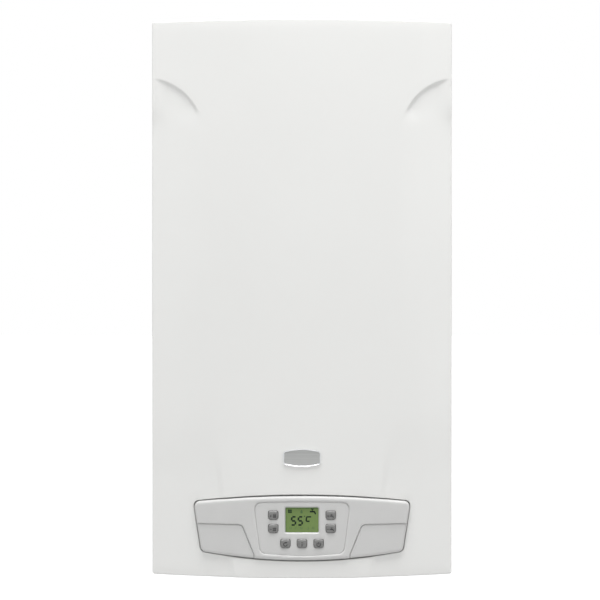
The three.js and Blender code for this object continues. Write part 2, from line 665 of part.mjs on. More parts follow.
function wallRail() {
  const plate = block(-RAIL_WIDTH / 2, RAIL_WIDTH / 2, -RAIL_THICK, 0,
    RAIL_Z - RAIL_HEIGHT / 2, RAIL_Z + RAIL_HEIGHT / 2);
  const lip = DEPTH_BACK + HOOK_PLAY;
  const foot = RAIL_SHELF_Z;
  const hooks = sides((side) => {
    const [x0, x1] = [side * RAIL_HOOK_X - RAIL_HOOK_WIDTH / 2, side * RAIL_HOOK_X + RAIL_HOOK_WIDTH / 2];
    const shelf = block(x0, x1, -(lip + RAIL_THICK), -RAIL_THICK / 2, foot, foot + RAIL_THICK);
    return shelf.add(block(x0, x1, -(lip + RAIL_THICK), -lip, foot, foot + RAIL_HOOK_RISE));
  });
  const slots = sides((side) => prism('y', roundedRect(
    side * RAIL_SLOT_X - RAIL_SLOT_LENGTH / 2, side * RAIL_SLOT_X + RAIL_SLOT_LENGTH / 2,
    RAIL_Z - RAIL_SLOT_WIDTH / 2, RAIL_Z + RAIL_SLOT_WIDTH / 2, RAIL_SLOT_WIDTH / 2),
  -RAIL_THICK - 1, 1, 0, 0, 3));
  return cut(join([plate, ...hooks]), slots);
}

function backPanel() {
  const half = INNER_HALF - FIT;
  const sheet = block(-half, half, -DEPTH_BACK, -BACK_STANDOFF, BASE_Z - PANEL_SKIRT,
    CASING_HEIGHT - SHEET - FIT);
  const reach = RAIL_HOOK_WIDTH / 2 + HOOK_SLOT_MARGIN;
  const slots = sides((side) => block(side * RAIL_HOOK_X - reach, side * RAIL_HOOK_X + reach,
    -DEPTH_BACK - 1, -BACK_STANDOFF + 1, RAIL_SHELF_Z - HOOK_SLOT_DROP, RAIL_SHELF_Z + RAIL_THICK + FIT));
  return cut(sheet, slots);
}

function sidePanel(side) {
  const edge = HALF_WIDTH - SIDE_FLANGE;
  const section = [[HALF_WIDTH, 0], [HALF_WIDTH, -SIDE_FRONT], [edge, -SIDE_FRONT],
    [edge, -SIDE_FRONT + SHEET], [INNER_HALF, -SIDE_FRONT + SHEET], [INNER_HALF, -SHEET],
    [edge, -SHEET], [edge, 0]];
  return prism('z', outline(section.map(([x, y]) => [side * x, y])), 0, CASING_HEIGHT);
}

function topPanel() {
  const half = INNER_HALF - FIT;
  const lipHalf = HALF_WIDTH - SIDE_FLANGE - FIT - 1;
  const under = CASING_HEIGHT - COVER_SHEET - FIT;
  const sheet = block(-half, half, -SHEET_FRONT, -SHEET - FIT, CASING_HEIGHT - SHEET, CASING_HEIGHT);
  const riser = block(-lipHalf, lipHalf, -SHEET_FRONT, -SHEET_FRONT + 6, under - SHEET,
    CASING_HEIGHT - SHEET / 2);
  const lip = block(-lipHalf, lipHalf, -(SEAM_DEPTH + LIP_OVERLAP), -SHEET_FRONT + 1, under - SHEET, under);
  const hole = rod('z', FLUE_RADIUS + HOLE_GAP, 0, -FLUE_DEPTH, CASING_HEIGHT - 10, CASING_HEIGHT + 1,
    FINE_ROUND);
  return cut(join([sheet, riser, lip]), [hole]);
}

function basePlate() {
  const half = INNER_HALF - FIT;
  const rear = -(DEPTH_BACK + FIT);
  const sheet = block(-half, half, -SHEET_FRONT, rear, BASE_Z, BASE_TOP);
  const lip = block(-half, half, -SHEET_FRONT, -SHEET_FRONT + SHEET, BASE_Z, BASE_TOP + BASE_LIP);
  const flanges = sides((side) => sideBlock(side, half - SHEET, half, -SHEET_FRONT, rear, BASE_Z,
    BASE_TOP + BASE_FLANGE));
  const tabs = sides((side) => {
    const [x0, x1] = [SCREW_X - SCREW_TAB_HALF, SCREW_X + SCREW_TAB_HALF];
    const edge = SCREW_Y - SCREW_TAB_REACH;
    const web = sideBlock(side, x0, x1, -SHEET_FRONT, -SHEET_FRONT + SHEET, SCREW_TAB_LIFT, BASE_TOP);
    const tab = sideBlock(side, x0, x1, edge, -SHEET_FRONT + SHEET, SCREW_TAB_LIFT, SCREW_TAB_LIFT + PLATE);
    const reach = SCREW_RADIUS + HOLE_GAP;
    const slot = sideBlock(side, SCREW_X - reach, SCREW_X + reach, edge - 1, SCREW_Y + reach,
      SCREW_TAB_LIFT - 1, SCREW_TAB_LIFT + PLATE + 1);
    return web.add(tab).subtract(slot);
  });
  const holes = [FLOW_X, HOT_X, 0, COLD_X, RETURN_X].map((x) =>
    rod('z', PORT_RADIUS + HOLE_GAP, x, PORT_Y, BASE_Z - 1, BASE_TOP + 1));
  holes.push(rod('z', TAP_RADIUS + HOLE_GAP, RELIEF_X, -TAP_DEPTH, BASE_Z - 1, BASE_TOP + 1));
  holes.push(rod('z', GAUGE_STEM_RADIUS + HOLE_GAP, GAUGE_X, -GAUGE_DEPTH, BASE_Z - 1, BASE_TOP + 1,
    SMALL_ROUND));
  return cut(join([sheet, lip, ...flanges, ...tabs]), holes);
}

// Front view of the cover above its brow and inside its tongue.
function tongueShape(inset) {
  const foot = TONGUE_FOOT_HALF - inset;
  const top = TONGUE_TOP_HALF - inset;
  const topZ = CASING_HEIGHT - TONGUE_TOP_DROP + inset;
  const edgeZ = CASING_HEIGHT - BROW_EDGE_DROP + inset;
  const bendZ = CASING_HEIGHT - BROW_BEND_DROP + inset;
  const edge = HALF_WIDTH + 1;
  const shape = new THREE.Shape();
  shape.moveTo(-foot, -2);
  shape.lineTo(foot, -2);
  shape.quadraticCurveTo(TONGUE_BEND_X - inset, TONGUE_BEND_Z, top, topZ);
  shape.quadraticCurveTo(BROW_BEND_X - inset, bendZ, edge, edgeZ);
  shape.lineTo(edge, CASING_HEIGHT + 2);
  shape.lineTo(-edge, CASING_HEIGHT + 2);
  shape.lineTo(-edge, edgeZ);
  shape.quadraticCurveTo(-BROW_BEND_X + inset, bendZ, -top, topZ);
  shape.quadraticCurveTo(-TONGUE_BEND_X + inset, TONGUE_BEND_Z, -foot, -2);
  return shape;
}

// The cover's outer form, or with an inset and a shift the space inside its sheet.
function coverForm(inset, rear, z0, z1) {
  const half = HALF_WIDTH - inset;
  const corner = COVER_CORNER - inset * 0.8;
  const raised = bowedPlan(half, -inset, rear, corner).intersect(throughFront(tongueShape(inset), rear));
  const flanks = bowedPlan(half, -COVER_RECESS - inset, rear, corner);
  const slab = block(-HALF_WIDTH - 1, HALF_WIDTH + 1, frontAt(0) - 1, -rear + 1, z0, z1);
  return raised.add(flanks).intersect(slab);
}

function frontCover() {
  const outer = coverForm(0, SEAM_DEPTH, 0, CASING_HEIGHT);
  const inner = coverForm(COVER_SHEET, SEAM_DEPTH - 2, COVER_SHEET, CASING_HEIGHT - COVER_SHEET);
  const half = HALF_WIDTH - COVER_SHEET;
  const foot = block(-half, half, -(SEAM_DEPTH + COVER_FOOT), -SEAM_DEPTH + 1, -1, COVER_SHEET + 1);
  const opening = throughFront(fasciaShape(FASCIA_GAP, FASCIA_GAP_BELOW));
  const screwHoles = sides((side) =>
    rod('z', SCREW_RADIUS + FIT, side * SCREW_X, SCREW_Y, -1, COVER_SHEET + 1, SMALL_ROUND));
  return cut(outer, [inner, foot, opening, ...screwHoles]);
}

function badgePlate() {
  const [w, side, crown] = [BADGE_WIDTH / 2, BADGE_SIDE_HEIGHT / 2, BADGE_HEIGHT / 2];
  const r = 2;
  const shape = new THREE.Shape();
  shape.moveTo(-w + r, -side);
  shape.quadraticCurveTo(0, side - 2 * crown, w - r, -side);
  shape.quadraticCurveTo(w, -side, w, -side + r);
  shape.lineTo(w, side - r);
  shape.quadraticCurveTo(w, side, w - r, side);
  shape.quadraticCurveTo(0, 2 * crown - side, -w + r, side);
  shape.quadraticCurveTo(-w, side, -w, side - r);
  shape.lineTo(-w, -side + r);
  shape.quadraticCurveTo(-w, -side, -w + r, -side);
  const back = frontAt(0) - FIT;
  return prism('y', shape, back - BADGE_THICK, back, 0, BADGE_Z, 8);
}

function coverScrew(side) {
  const x = side * SCREW_X;
  const foot = -FIT - SCREW_HEAD;
  const head = rod('z', SCREW_HEAD_RADIUS, x, SCREW_Y, foot, -FIT, 12);
  const slot = block(x - SCREW_HEAD_RADIUS, x + SCREW_HEAD_RADIUS, SCREW_Y - SCREW_SLOT / 2,
    SCREW_Y + SCREW_SLOT / 2, foot - 1, foot + 1);
  const tip = SCREW_TAB_LIFT + PLATE + SCREW_TAIL;
  const shank = rod('z', SCREW_RADIUS, x, SCREW_Y, -FIT - 1, tip, SMALL_ROUND);
  return head.subtract(slot).add(shank);
}

function flueCollar() {
  const flangeZ = CASING_HEIGHT + FIT;
  const top = CASING_HEIGHT + FLUE_RISE;
  const foot = FAN_OUTLET_Z + 4;
  const sleeve = rod('z', FLUE_RADIUS, 0, -FLUE_DEPTH, CHAMBER_TOP - SHEET - 2, top, FINE_ROUND);
  const flange = rod('z', FLUE_RADIUS + FLUE_FLANGE, 0, -FLUE_DEPTH, flangeZ, flangeZ + FLUE_FLANGE_THICK,
    FINE_ROUND);
  const air = rod('z', FLUE_RADIUS - FLUE_WALL, 0, -FLUE_DEPTH, foot - 1, top + 1, FINE_ROUND);
  const pipeWall = rod('z', FLUE_PIPE_RADIUS, 0, -FLUE_DEPTH, foot, top, ROUND);
  const bore = rod('z', FLUE_PIPE_RADIUS - FLUE_WALL, 0, -FLUE_DEPTH, foot - 1, top + 1, ROUND);
  const spokes = [0, 1, 2].map((i) => {
    const spoke = block(FLUE_PIPE_RADIUS - 1, FLUE_RADIUS - FLUE_WALL / 2, -1, 1,
      CASING_HEIGHT - FLUE_SPOKE_HEIGHT, CASING_HEIGHT);
    return spoke.rotate([0, 0, 120 * i]).translate([0, -FLUE_DEPTH, 0]);
  });
  return sleeve.add(flange).subtract(air).add(join([pipeWall, ...spokes])).subtract(bore);
}

// ---------------------------------------------------------------- control panel

// Outline of the control panel moulding, seen from the front.
function fasciaShape(grow, growBelow = 0) {
  const [top, foot] = [FASCIA_TOP_HALF + grow, FASCIA_BOTTOM_HALF + grow];
  const [crownZ, shoulderZ] = [FASCIA_CROWN_Z + grow, FASCIA_SHOULDER_Z + grow];
  const footZ = FASCIA_FOOT_Z - grow - growBelow;
  const bottomZ = FASCIA_BOTTOM_Z - grow - growBelow;
  const r = FASCIA_CORNER + grow;
  const shape = new THREE.Shape();
  shape.moveTo(-top + r, shoulderZ);
  shape.quadraticCurveTo(-top, shoulderZ, -top, shoulderZ - r);
  shape.lineTo(-foot, footZ + r);
  shape.quadraticCurveTo(-foot, footZ, -foot + r, footZ);
  shape.quadraticCurveTo(0, 2 * bottomZ - footZ, foot - r, footZ);
  shape.quadraticCurveTo(foot, footZ, foot, footZ + r);
  shape.lineTo(top, shoulderZ - r);
  shape.quadraticCurveTo(top, shoulderZ, top - r, shoulderZ);
  shape.quadraticCurveTo(0, 2 * crownZ - shoulderZ, -top + r, shoulderZ);
  return shape;
}

// Outline of the inset key panel.
function keyShape(grow) {
  const [top, foot] = [KEY_TOP_HALF + grow, KEY_FOOT_HALF + grow];
  const [crownZ, topZ] = [KEY_CROWN_Z + grow, KEY_TOP_Z + grow];
  const [footZ, bottomZ] = [KEY_FOOT_Z - grow, KEY_BOTTOM_Z - grow];
  const r = KEY_CORNER;
  const shape = new THREE.Shape();
  shape.moveTo(-top + r, topZ);
  shape.quadraticCurveTo(-top, topZ, -top, topZ - r);
  shape.lineTo(-foot, footZ + r);
  shape.quadraticCurveTo(-foot, footZ, -foot + r, footZ);
  shape.quadraticCurveTo(0, 2 * bottomZ - footZ, foot - r, footZ);
  shape.quadraticCurveTo(foot, footZ, foot, footZ + r);
  shape.lineTo(top, topZ - r);
  shape.quadraticCurveTo(top, topZ, top - r, topZ);
  shape.quadraticCurveTo(0, 2 * crownZ - topZ, -top + r, topZ);
  return shape;
}

// Sunk lower corner of the moulding.
function wingShape(side) {
  const outer = FASCIA_TOP_HALF + 5;
  const low = FASCIA_BOTTOM_Z - 5;
  const r = 5;
  const shape = new THREE.Shape();
  shape.moveTo(side * outer, low);
  shape.lineTo(side * outer, WING_TOP_Z);
  shape.lineTo(side * (WING_INNER_HALF + r), WING_TOP_Z);
  shape.quadraticCurveTo(side * WING_INNER_HALF, WING_TOP_Z, side * (WING_INNER_HALF - 2), WING_TOP_Z - r);
  shape.lineTo(side * WING_FOOT_HALF, low);
  return shape;
}

function buttonShape(grow) {
  const [w, h] = [BUTTON_WIDTH / 2 + grow, BUTTON_HEIGHT / 2 + grow];
  const [top, foot] = [BUTTON_TOP_CORNER, BUTTON_FOOT_CORNER];
  const shape = new THREE.Shape();
  shape.moveTo(-w + foot, -h);
  shape.lineTo(w - foot, -h);
  shape.quadraticCurveTo(w, -h, w, -h + foot);
  shape.lineTo(w, h - top);
  shape.quadraticCurveTo(w, h, w - top, h);
  shape.lineTo(-w + top, h);
  shape.quadraticCurveTo(-w, h, -w, h - top);
  shape.lineTo(-w, -h + foot);
  shape.quadraticCurveTo(-w, -h, -w + foot, -h);
  return shape;
}

const BUTTONS = [
  ['button_heating_up', -BUTTON_COLUMN_X, BUTTON_UPPER_Z],
  ['button_heating_down', -BUTTON_COLUMN_X, BUTTON_LOWER_Z],
  ['button_water_up', BUTTON_COLUMN_X, BUTTON_UPPER_Z],
  ['button_water_down', BUTTON_COLUMN_X, BUTTON_LOWER_Z],
  ['button_reset', -BUTTON_PITCH, BUTTON_ROW_Z],
  ['button_info', 0, BUTTON_ROW_Z],
  ['button_standby', BUTTON_PITCH, BUTTON_ROW_Z],
];

function panelHoles() {
  const holes = BUTTONS.map(([, x, z]) =>
    prism('y', buttonShape(BUTTON_GAP), frontAt(0) - 20, -DISPLAY_DEPTH, x, z, 1));
  const lcd = roundedRect(-LCD_HALF, LCD_HALF, LCD_BOTTOM_Z, LCD_TOP_Z, LCD_CORNER);
  holes.push(prism('y', lcd, frontAt(0) - 20, -DISPLAY_DEPTH, 0, 0, 2));
  return holes;
}

function fascia() {
  const rim = CONTROL_RIM + FIT;
  const body = throughFront(fasciaShape(0), rim).intersect(bowedPlan(HALF_WIDTH, FASCIA_PROUD, rim));
  const hollow = throughFront(fasciaShape(-FASCIA_WALL), rim - 2)
    .intersect(bowedPlan(HALF_WIDTH, FASCIA_PROUD - FASCIA_WALL, rim - 2));
  const wings = sides((side) => throughFront(wingShape(side), rim - 2, 3)
    .subtract(bowedPlan(HALF_WIDTH, FASCIA_PROUD - WING_SINK, rim - 4)));
  const pocket = throughFront(keyShape(0), rim - 2, 5)
    .subtract(bowedPlan(HALF_WIDTH, FASCIA_PROUD - KEY_POCKET, rim - 4));
  return cut(body, [hollow, ...wings, pocket, ...panelHoles()]);
}

function keyPanel() {
  const skin = bowedPlan(HALF_WIDTH, FASCIA_PROUD - KEY_SINK, SEAM_DEPTH)
    .subtract(bowedPlan(HALF_WIDTH, FASCIA_PROUD - KEY_POCKET + FIT, SEAM_DEPTH - 2));
  return cut(throughFront(keyShape(-KEY_GAP), SEAM_DEPTH, 5).intersect(skin), panelHoles());
}

function lcdWindow() {
  const shape = roundedRect(-LCD_HALF + FIT, LCD_HALF - FIT, LCD_BOTTOM_Z + FIT, LCD_TOP_Z - FIT, LCD_CORNER);
  return prism('y', shape, frontAt(LCD_HALF, FASCIA_PROUD - KEY_SINK) + 0.2, -DISPLAY_DEPTH - FIT, 0, 0, 2);
}

function button(x, z) {
  const front = frontAt(x, FASCIA_PROUD - KEY_SINK) - BUTTON_PROUD;
  const rear = -DISPLAY_DEPTH - BUTTON_TRAVEL - FIT;
  const flangeReach = BUTTON_GAP + BUTTON_FLANGE;
  const flangeFront = frontAt(Math.abs(x) + BUTTON_WIDTH / 2 + flangeReach, FASCIA_PROUD - FASCIA_WALL) + FIT;
  const cap = prism('y', buttonShape(0), front, flangeFront + BUTTON_FLANGE, x, z, 1);
  const flange = prism('y', buttonShape(flangeReach), flangeFront, flangeFront + BUTTON_FLANGE, x, z, 1);
  const stem = rod('y', BUTTON_STEM_RADIUS, x, z, flangeFront + 0.5, rear, SMALL_ROUND);
  return join([cap, flange, stem]);
}

function controlBox() {
  const w = CONTROL_WALL;
  const outer = block(-CONTROL_HALF, CONTROL_HALF, -CONTROL_RIM, -CONTROL_REAR,
    CONTROL_BOTTOM_Z, CONTROL_TOP_Z);
  const inner = block(-CONTROL_HALF + w, CONTROL_HALF - w, -CONTROL_RIM - 1, -CONTROL_REAR - w,
    CONTROL_BOTTOM_Z + w, CONTROL_TOP_Z - w);
  const footZ = CONTROL_BOTTOM_Z + CONTROL_FOOT_LIFT;
  const feet = sides((side) => sideBlock(side, CONTROL_FOOT_X - CONTROL_FOOT_WIDTH / 2,
    CONTROL_FOOT_X + CONTROL_FOOT_WIDTH / 2, -CONTROL_REAR - 1, -SHEET_FRONT - FIT,
    footZ, footZ + CONTROL_FOOT_HEIGHT));
  const slotZ = CONTROL_TOP_Z - CONTROL_SLOT_DROP;
  const vents = row(CONTROL_SLOTS, CONTROL_SLOT_PITCH).map((x) =>
    block(x - CONTROL_SLOT_WIDTH / 2, x + CONTROL_SLOT_WIDTH / 2, -CONTROL_REAR - w - 1, -CONTROL_REAR + 1,
      slotZ - CONTROL_SLOT_HEIGHT, slotZ));
  return cut(join([outer, ...feet]), [inner, ...vents]);
}

function mainCircuitBoard() {
  const back = CONTROL_REAR + CONTROL_WALL;
  const boardRear = back + BOARD_STANDOFF;
  const boardFront = boardRear + BOARD_THICK;
  const z0 = CONTROL_BOTTOM_Z + CONTROL_WALL + BOARD_MARGIN_Z;
  const z1 = CONTROL_TOP_Z - CONTROL_WALL - BOARD_MARGIN_Z;
  const board = block(-BOARD_HALF, BOARD_HALF, -boardFront, -boardRear, z0, z1);
  const display = block(-DISPLAY_BOARD_HALF, DISPLAY_BOARD_HALF, -DISPLAY_DEPTH, -DISPLAY_DEPTH + BOARD_THICK,
    z0, z1);
  const face = -boardFront + 0.5;
  const post = (x, z, front, rear) => rod('y', POST_RADIUS, x, z, front, rear, SMALL_ROUND);
  const posts = [];
  for (const x of [-POST_X, POST_X]) {
    for (const z of [z0 + POST_INSET, z1 - POST_INSET]) {
      posts.push(post(x, z, -DISPLAY_DEPTH + BOARD_THICK / 2, face));
      posts.push(post(2 * x, z, -boardRear - 0.5, -back - FIT));
    }
  }
  // A block of the given width and depth on the board's face.
  const mounted = (x, { width, depth }, low, high) =>
    block(x - width / 2, x + width / 2, face - depth, face, low, high);
  const transformer = mounted(TRANSFORMER.x, TRANSFORMER, z0 + TRANSFORMER.lift, z1 - TRANSFORMER.drop);
  const relays = row(RELAY.count, RELAY.pitch, RELAY.x).map((x) =>
    mounted(x, RELAY, z0 + RELAY.lift, z0 + RELAY.lift + RELAY.height));
  const sockets = row(SOCKET.count, SOCKET.pitch, SOCKET.x).map((x) =>
    mounted(x, SOCKET, z0 + SOCKET.lift, z0 + SOCKET.lift + SOCKET.height));
  const capacitors = row(CAPACITOR.count, CAPACITOR.pitch, CAPACITOR.x).map((x) =>
    rod('y', CAPACITOR.radius, x, z1 - CAPACITOR.drop, face - CAPACITOR.depth, face, 12));
  return join([board, display, ...posts, transformer, ...relays, ...capacitors, ...sockets]);
}

// ---------------------------------------------------------------- sealed combustion chamber

function chamberShell() {
  const half = CHAMBER_HALF;
  const outer = block(-half, half, -CHAMBER_FRONT, -CHAMBER_BACK, CHAMBER_Z, CHAMBER_TOP);
  const inner = block(-half + SHEET, half - SHEET, -CHAMBER_FRONT - 1, -CHAMBER_INNER_BACK,
    CHAMBER_FLOOR, CHAMBER_TOP - SHEET);
  const earBack = -SIDE_FRONT + EAR_SETBACK;
  const ear = (side, z) => sideBlock(side, half - 0.5, INNER_HALF - FIT, earBack, earBack + EAR_DEPTH,
    z, z + EAR_HEIGHT);
  const ears = [CHAMBER_Z + EAR_LIFT, CHAMBER_TOP - EAR_LIFT - EAR_HEIGHT].flatMap((z) =>
    sides((side) => ear(side, z)));
  const through = (radius, x, y) => rod('z', radius + HOLE_GAP, x, y, CHAMBER_Z - 1, CHAMBER_FLOOR + 1);
  const holes = [
    rod('z', FLUE_RADIUS + FIT, 0, -FLUE_DEPTH, CHAMBER_TOP - 5, CHAMBER_TOP + 1, FINE_ROUND),
    through(GAS_PIPE_RADIUS, 0, MANIFOLD_Y),
    ...sides((side) => through(PIPE_RADIUS, side * RISING_PIPE_X, -STACK_DEPTH)),
  ];
  return cut(join([outer, ...ears]), [inner, ...holes]);
}

function chamberLid() {
  const back = CHAMBER_FRONT + FIT;
  const plate = block(-CHAMBER_HALF - LID_EDGE, CHAMBER_HALF + LID_EDGE, -LID_FRONT, -back,
    CHAMBER_Z - LID_EDGE, CHAMBER_TOP + LID_EDGE);
  const beads = [0.3, 0.7].map((share) => {
    const z = CHAMBER_Z + share * (CHAMBER_TOP - CHAMBER_Z);
    const shape = roundedRect(-CHAMBER_HALF + BEAD_MARGIN, CHAMBER_HALF - BEAD_MARGIN, z - BEAD_HALF,
      z + BEAD_HALF, BEAD_CORNER);
    return prism('y', shape, -LID_FRONT - BEAD_PROUD, -LID_FRONT + 0.5, 0, 0, 2);
  });
  const hole = rod('y', SIGHT_HOLE, SIGHT_X, SIGHT_Z, -LID_FRONT - 5, -back + 1);
  const seat = rod('y', SIGHT_RADIUS + 3, SIGHT_X, SIGHT_Z, -LID_FRONT - 5, -LID_FRONT);
  return cut(join([plate, ...beads]), [hole, seat]);
}

function sightGlass() {
  const back = -(LID_FRONT + FIT);
  const profile = [[0, back], [SIGHT_RADIUS, back], [SIGHT_RADIUS, back - 2.5], [SIGHT_RADIUS - 4, back - 4],
    [SIGHT_HOLE + 1, back - 4], [SIGHT_HOLE - 1, back - 2.5], [0, back - 2.5]];
  return turned('y', profile, SIGHT_X, SIGHT_Z);
}

function firebox() {
  const half = FIREBOX_LENGTH / 2;
  const outer = block(-half, half, -FIREBOX_FRONT, -FIREBOX_BACK, FIREBOX_Z, FIREBOX_TOP);
  const inner = block(-half + SHEET, half - SHEET, -FIREBOX_FRONT + SHEET, -FIREBOX_BACK - SHEET,
    FIREBOX_Z - 1, FIREBOX_TOP + 1);
  const wings = sides((side) => sideBlock(side, half - 0.5, CHAMBER_HALF - SHEET - FIT, -FIREBOX_BACK - 20,
    -FIREBOX_BACK - 4, FIREBOX_Z, FIREBOX_Z + SHEET));
  const sight = rod('y', SIGHT_HOLE, SIGHT_X, SIGHT_Z, -FIREBOX_FRONT - 1, -FIREBOX_FRONT + 3);
  const spark = rod('y', SPARK_RADIUS + FIT, SPARK_X, SPARK_Z, -FIREBOX_FRONT - 1, -FIREBOX_FRONT + 3, 12);
  return cut(join([outer, ...wings]), [inner, sight, spark]);
}

function fireboxInsulation() {
  const skin = SHEET + FIT;
  const half = FIREBOX_LENGTH / 2 - skin;
  const [front, back] = [FIREBOX_FRONT - skin, FIREBOX_BACK + skin];
  const outer = block(-half, half, -front, -back, FIREBOX_Z + 1, FIREBOX_TOP - 1);
  const inner = block(-half + INSULATION, half - INSULATION, -front + INSULATION, -back - INSULATION,
    FIREBOX_Z, FIREBOX_TOP);
  const sight = rod('y', SIGHT_HOLE, SIGHT_X, SIGHT_Z, -front - 1, -front + INSULATION + 1);
  const spark = rod('y', SPARK_RADIUS + FIT, SPARK_X, SPARK_Z, -front - 1, -front + INSULATION + 1, 12);
  return cut(outer, [inner, sight, spark]);
}

function burner() {
  const half = BURNER_LENGTH / 2;
  const [back, front] = [STACK_DEPTH - BURNER_DEPTH / 2, BURNER_FRONT];
  const top = BURNER_Z + BURNER_HEIGHT;
  const tray = block(-half, half, -front, -back, BURNER_Z, BURNER_Z + BURNER_TRAY);
  const w = BLADE_WIDTH / 2;
  const [shoulder, crown] = [BURNER_HEIGHT - 8, BURNER_HEIGHT - 3];
  const profile = outline([[-w, 0], [w, 0], [w, shoulder], [w / 2, crown], [-w / 2, crown], [-w, shoulder]]);
  const blades = row(BLADE_COUNT, BURNER_LENGTH / BLADE_COUNT).map((x) =>
    prism('y', profile, -front, -back, x, BURNER_Z));
  const ends = sides((side) => sideBlock(side, half - 2, half, -front, -back, BURNER_Z, top)
    .add(sideBlock(side, half - 1, half + BURNER_FLANGE, -front, -back, top - 2, top)));
  return join([tray, ...blades, ...ends]);
}

function gasManifold() {
  const half = BURNER_LENGTH / 2;
  const back = MANIFOLD_FRONT - MANIFOLD_BAR;
  const bar = block(-half, half, -MANIFOLD_FRONT, -back, MANIFOLD_Z - MANIFOLD_BAR / 2,
    MANIFOLD_Z + MANIFOLD_BAR / 2);
  const nozzles = row(BLADE_COUNT, BURNER_LENGTH / BLADE_COUNT).map((x) =>
    rod('y', NOZZLE_RADIUS, x, MANIFOLD_Z, -back - 1, -(BURNER_FRONT + FIT), SMALL_ROUND));
  const inlet = rod('z', GAS_PIPE_RADIUS, 0, MANIFOLD_Y, MANIFOLD_FOOT_Z, MANIFOLD_Z, 12);
  return join([bar, ...nozzles, inlet]);
}

function ignitionElectrode() {
  const tip = FIREBOX_FRONT - SHEET - INSULATION - SPARK_REACH;
  const ceramic = turned('y', [[0, -(FIREBOX_FRONT + 9)], [SPARK_RADIUS, -(FIREBOX_FRONT + 9)],
    [SPARK_RADIUS + 3, -(FIREBOX_FRONT + 5)], [SPARK_RADIUS + 3, -(FIREBOX_FRONT + FIT)],
    [SPARK_RADIUS, -(FIREBOX_FRONT + FIT)], [SPARK_RADIUS, -(FIREBOX_FRONT - 18)],
    [0, -(FIREBOX_FRONT - 18)]], SPARK_X, SPARK_Z, 12);
  const wire = rod('y', 1.2, SPARK_X, SPARK_Z, -(FIREBOX_FRONT - 17), -tip, 8);
  return ceramic.add(wire);
}

function mainHeatExchanger() {
  const [back, front] = [STACK_DEPTH - EXCHANGER_DEPTH / 2, STACK_DEPTH + EXCHANGER_DEPTH / 2];
  const half = FIN_THICK / 2;
  const fins = row(FIN_COUNT, (EXCHANGER_LENGTH - FIN_THICK) / (FIN_COUNT - 1)).map((x) =>
    block(x - half, x + half, -front, -back, EXCHANGER_Z, EXCHANGER_TOP));
  const [foot, top] = [EXCHANGER_AXIS - TUBE_HEIGHT / 2, EXCHANGER_AXIS + TUBE_HEIGHT / 2];
  const tubes = row(TUBE_COUNT, EXCHANGER_DEPTH / TUBE_COUNT, -STACK_DEPTH).map((y) =>
    block(-BEND_END + 2, BEND_END - 2, y - TUBE_WIDTH / 2, y + TUBE_WIDTH / 2, foot, top));
  const bend = roundedRect(-front + 12, -back - 12, foot - 2, top + 2, 12);
  const bends = [[-BEND_END, -BEND_END + 5], [BEND_END - 5, BEND_END]].map(([from, to]) =>
    prism('x', bend, from, to, 0, 0, 3));
  return join([...fins, ...tubes, ...bends]);
}

// The hood is where a front view and a side view meet; the inset gives its inside.
function hoodForm(inset) {
  const half = EXCHANGER_HALF + HOOD_OVERHANG - inset;
  const [riserLeft, riserRight] = [FAN_X - HOOD_RISER_HALF + inset, FAN_X + HOOD_RISER_HALF - inset];
  const bottom = inset > 0 ? HOOD_Z - 1 : HOOD_Z;
  const rim = HOOD_Z + HOOD_RIM - inset;
  const shoulder = HOOD_Z + HOOD_RIM + HOOD_SLOPE_HEIGHT - inset;
  const top = HOOD_TOP - inset;
  const [back, riser] = [-(RISER_FRONT - HOOD_RISER_DEPTH + inset), -(RISER_FRONT - inset)];
  const reach = EXCHANGER_DEPTH / 2 + HOOD_OVERHANG - inset;
  const [rear, front] = [-(STACK_DEPTH - reach), -(STACK_DEPTH + reach)];
  const faceOn = outline([[-half, bottom], [half, bottom], [half, rim], [riserRight, shoulder],
    [riserRight, top], [riserLeft, top], [riserLeft, shoulder], [-half, rim]]);
  const sideOn = outline([[rear, bottom], [rear, rim], [back, shoulder], [back, top], [riser, top],
    [riser, shoulder], [front, rim], [front, bottom]]);
  return prism('y', faceOn, front - 1, back + 1).intersect(prism('x', sideOn, -half - 1, half + 1));
}

function fumeHood() {
  const inlet = rod('y', FAN_INLET_RADIUS + 2, FAN_X, FAN_Z, -RISER_FRONT - 1, -RISER_FRONT + 4);
  return cut(hoodForm(0), [hoodForm(SHEET), inlet]);
}

// Spiral outline of the fan housing about its own axis, open upwards on the outlet's side.
function scrollShape(inset) {
  const steps = 18;
  const shape = new THREE.Shape();
  const right = FAN_OFFSET + FAN_OUTLET_HALF - inset;
  const left = FAN_OFFSET - FAN_OUTLET_HALF + inset;
  const top = FAN_OUTLET_Z - FAN_Z + (inset > 0 ? 1 : 0);
  shape.moveTo(right, 0);
  shape.lineTo(right, top);
  shape.lineTo(left, top);
  const cornerTurn = Math.acos(left / (FAN_SCROLL_RADIUS - inset));
  for (let i = 0; i <= steps; i += 1) {
    const share = i / steps;
    const turn = cornerTurn + share * (2 * Math.PI - cornerTurn);
    const radius = FAN_SCROLL_RADIUS + share * (right + inset - FAN_SCROLL_RADIUS) - inset;
    if (i < steps) shape.lineTo(radius * Math.cos(turn), radius * Math.sin(turn));
  }
  return shape;
}

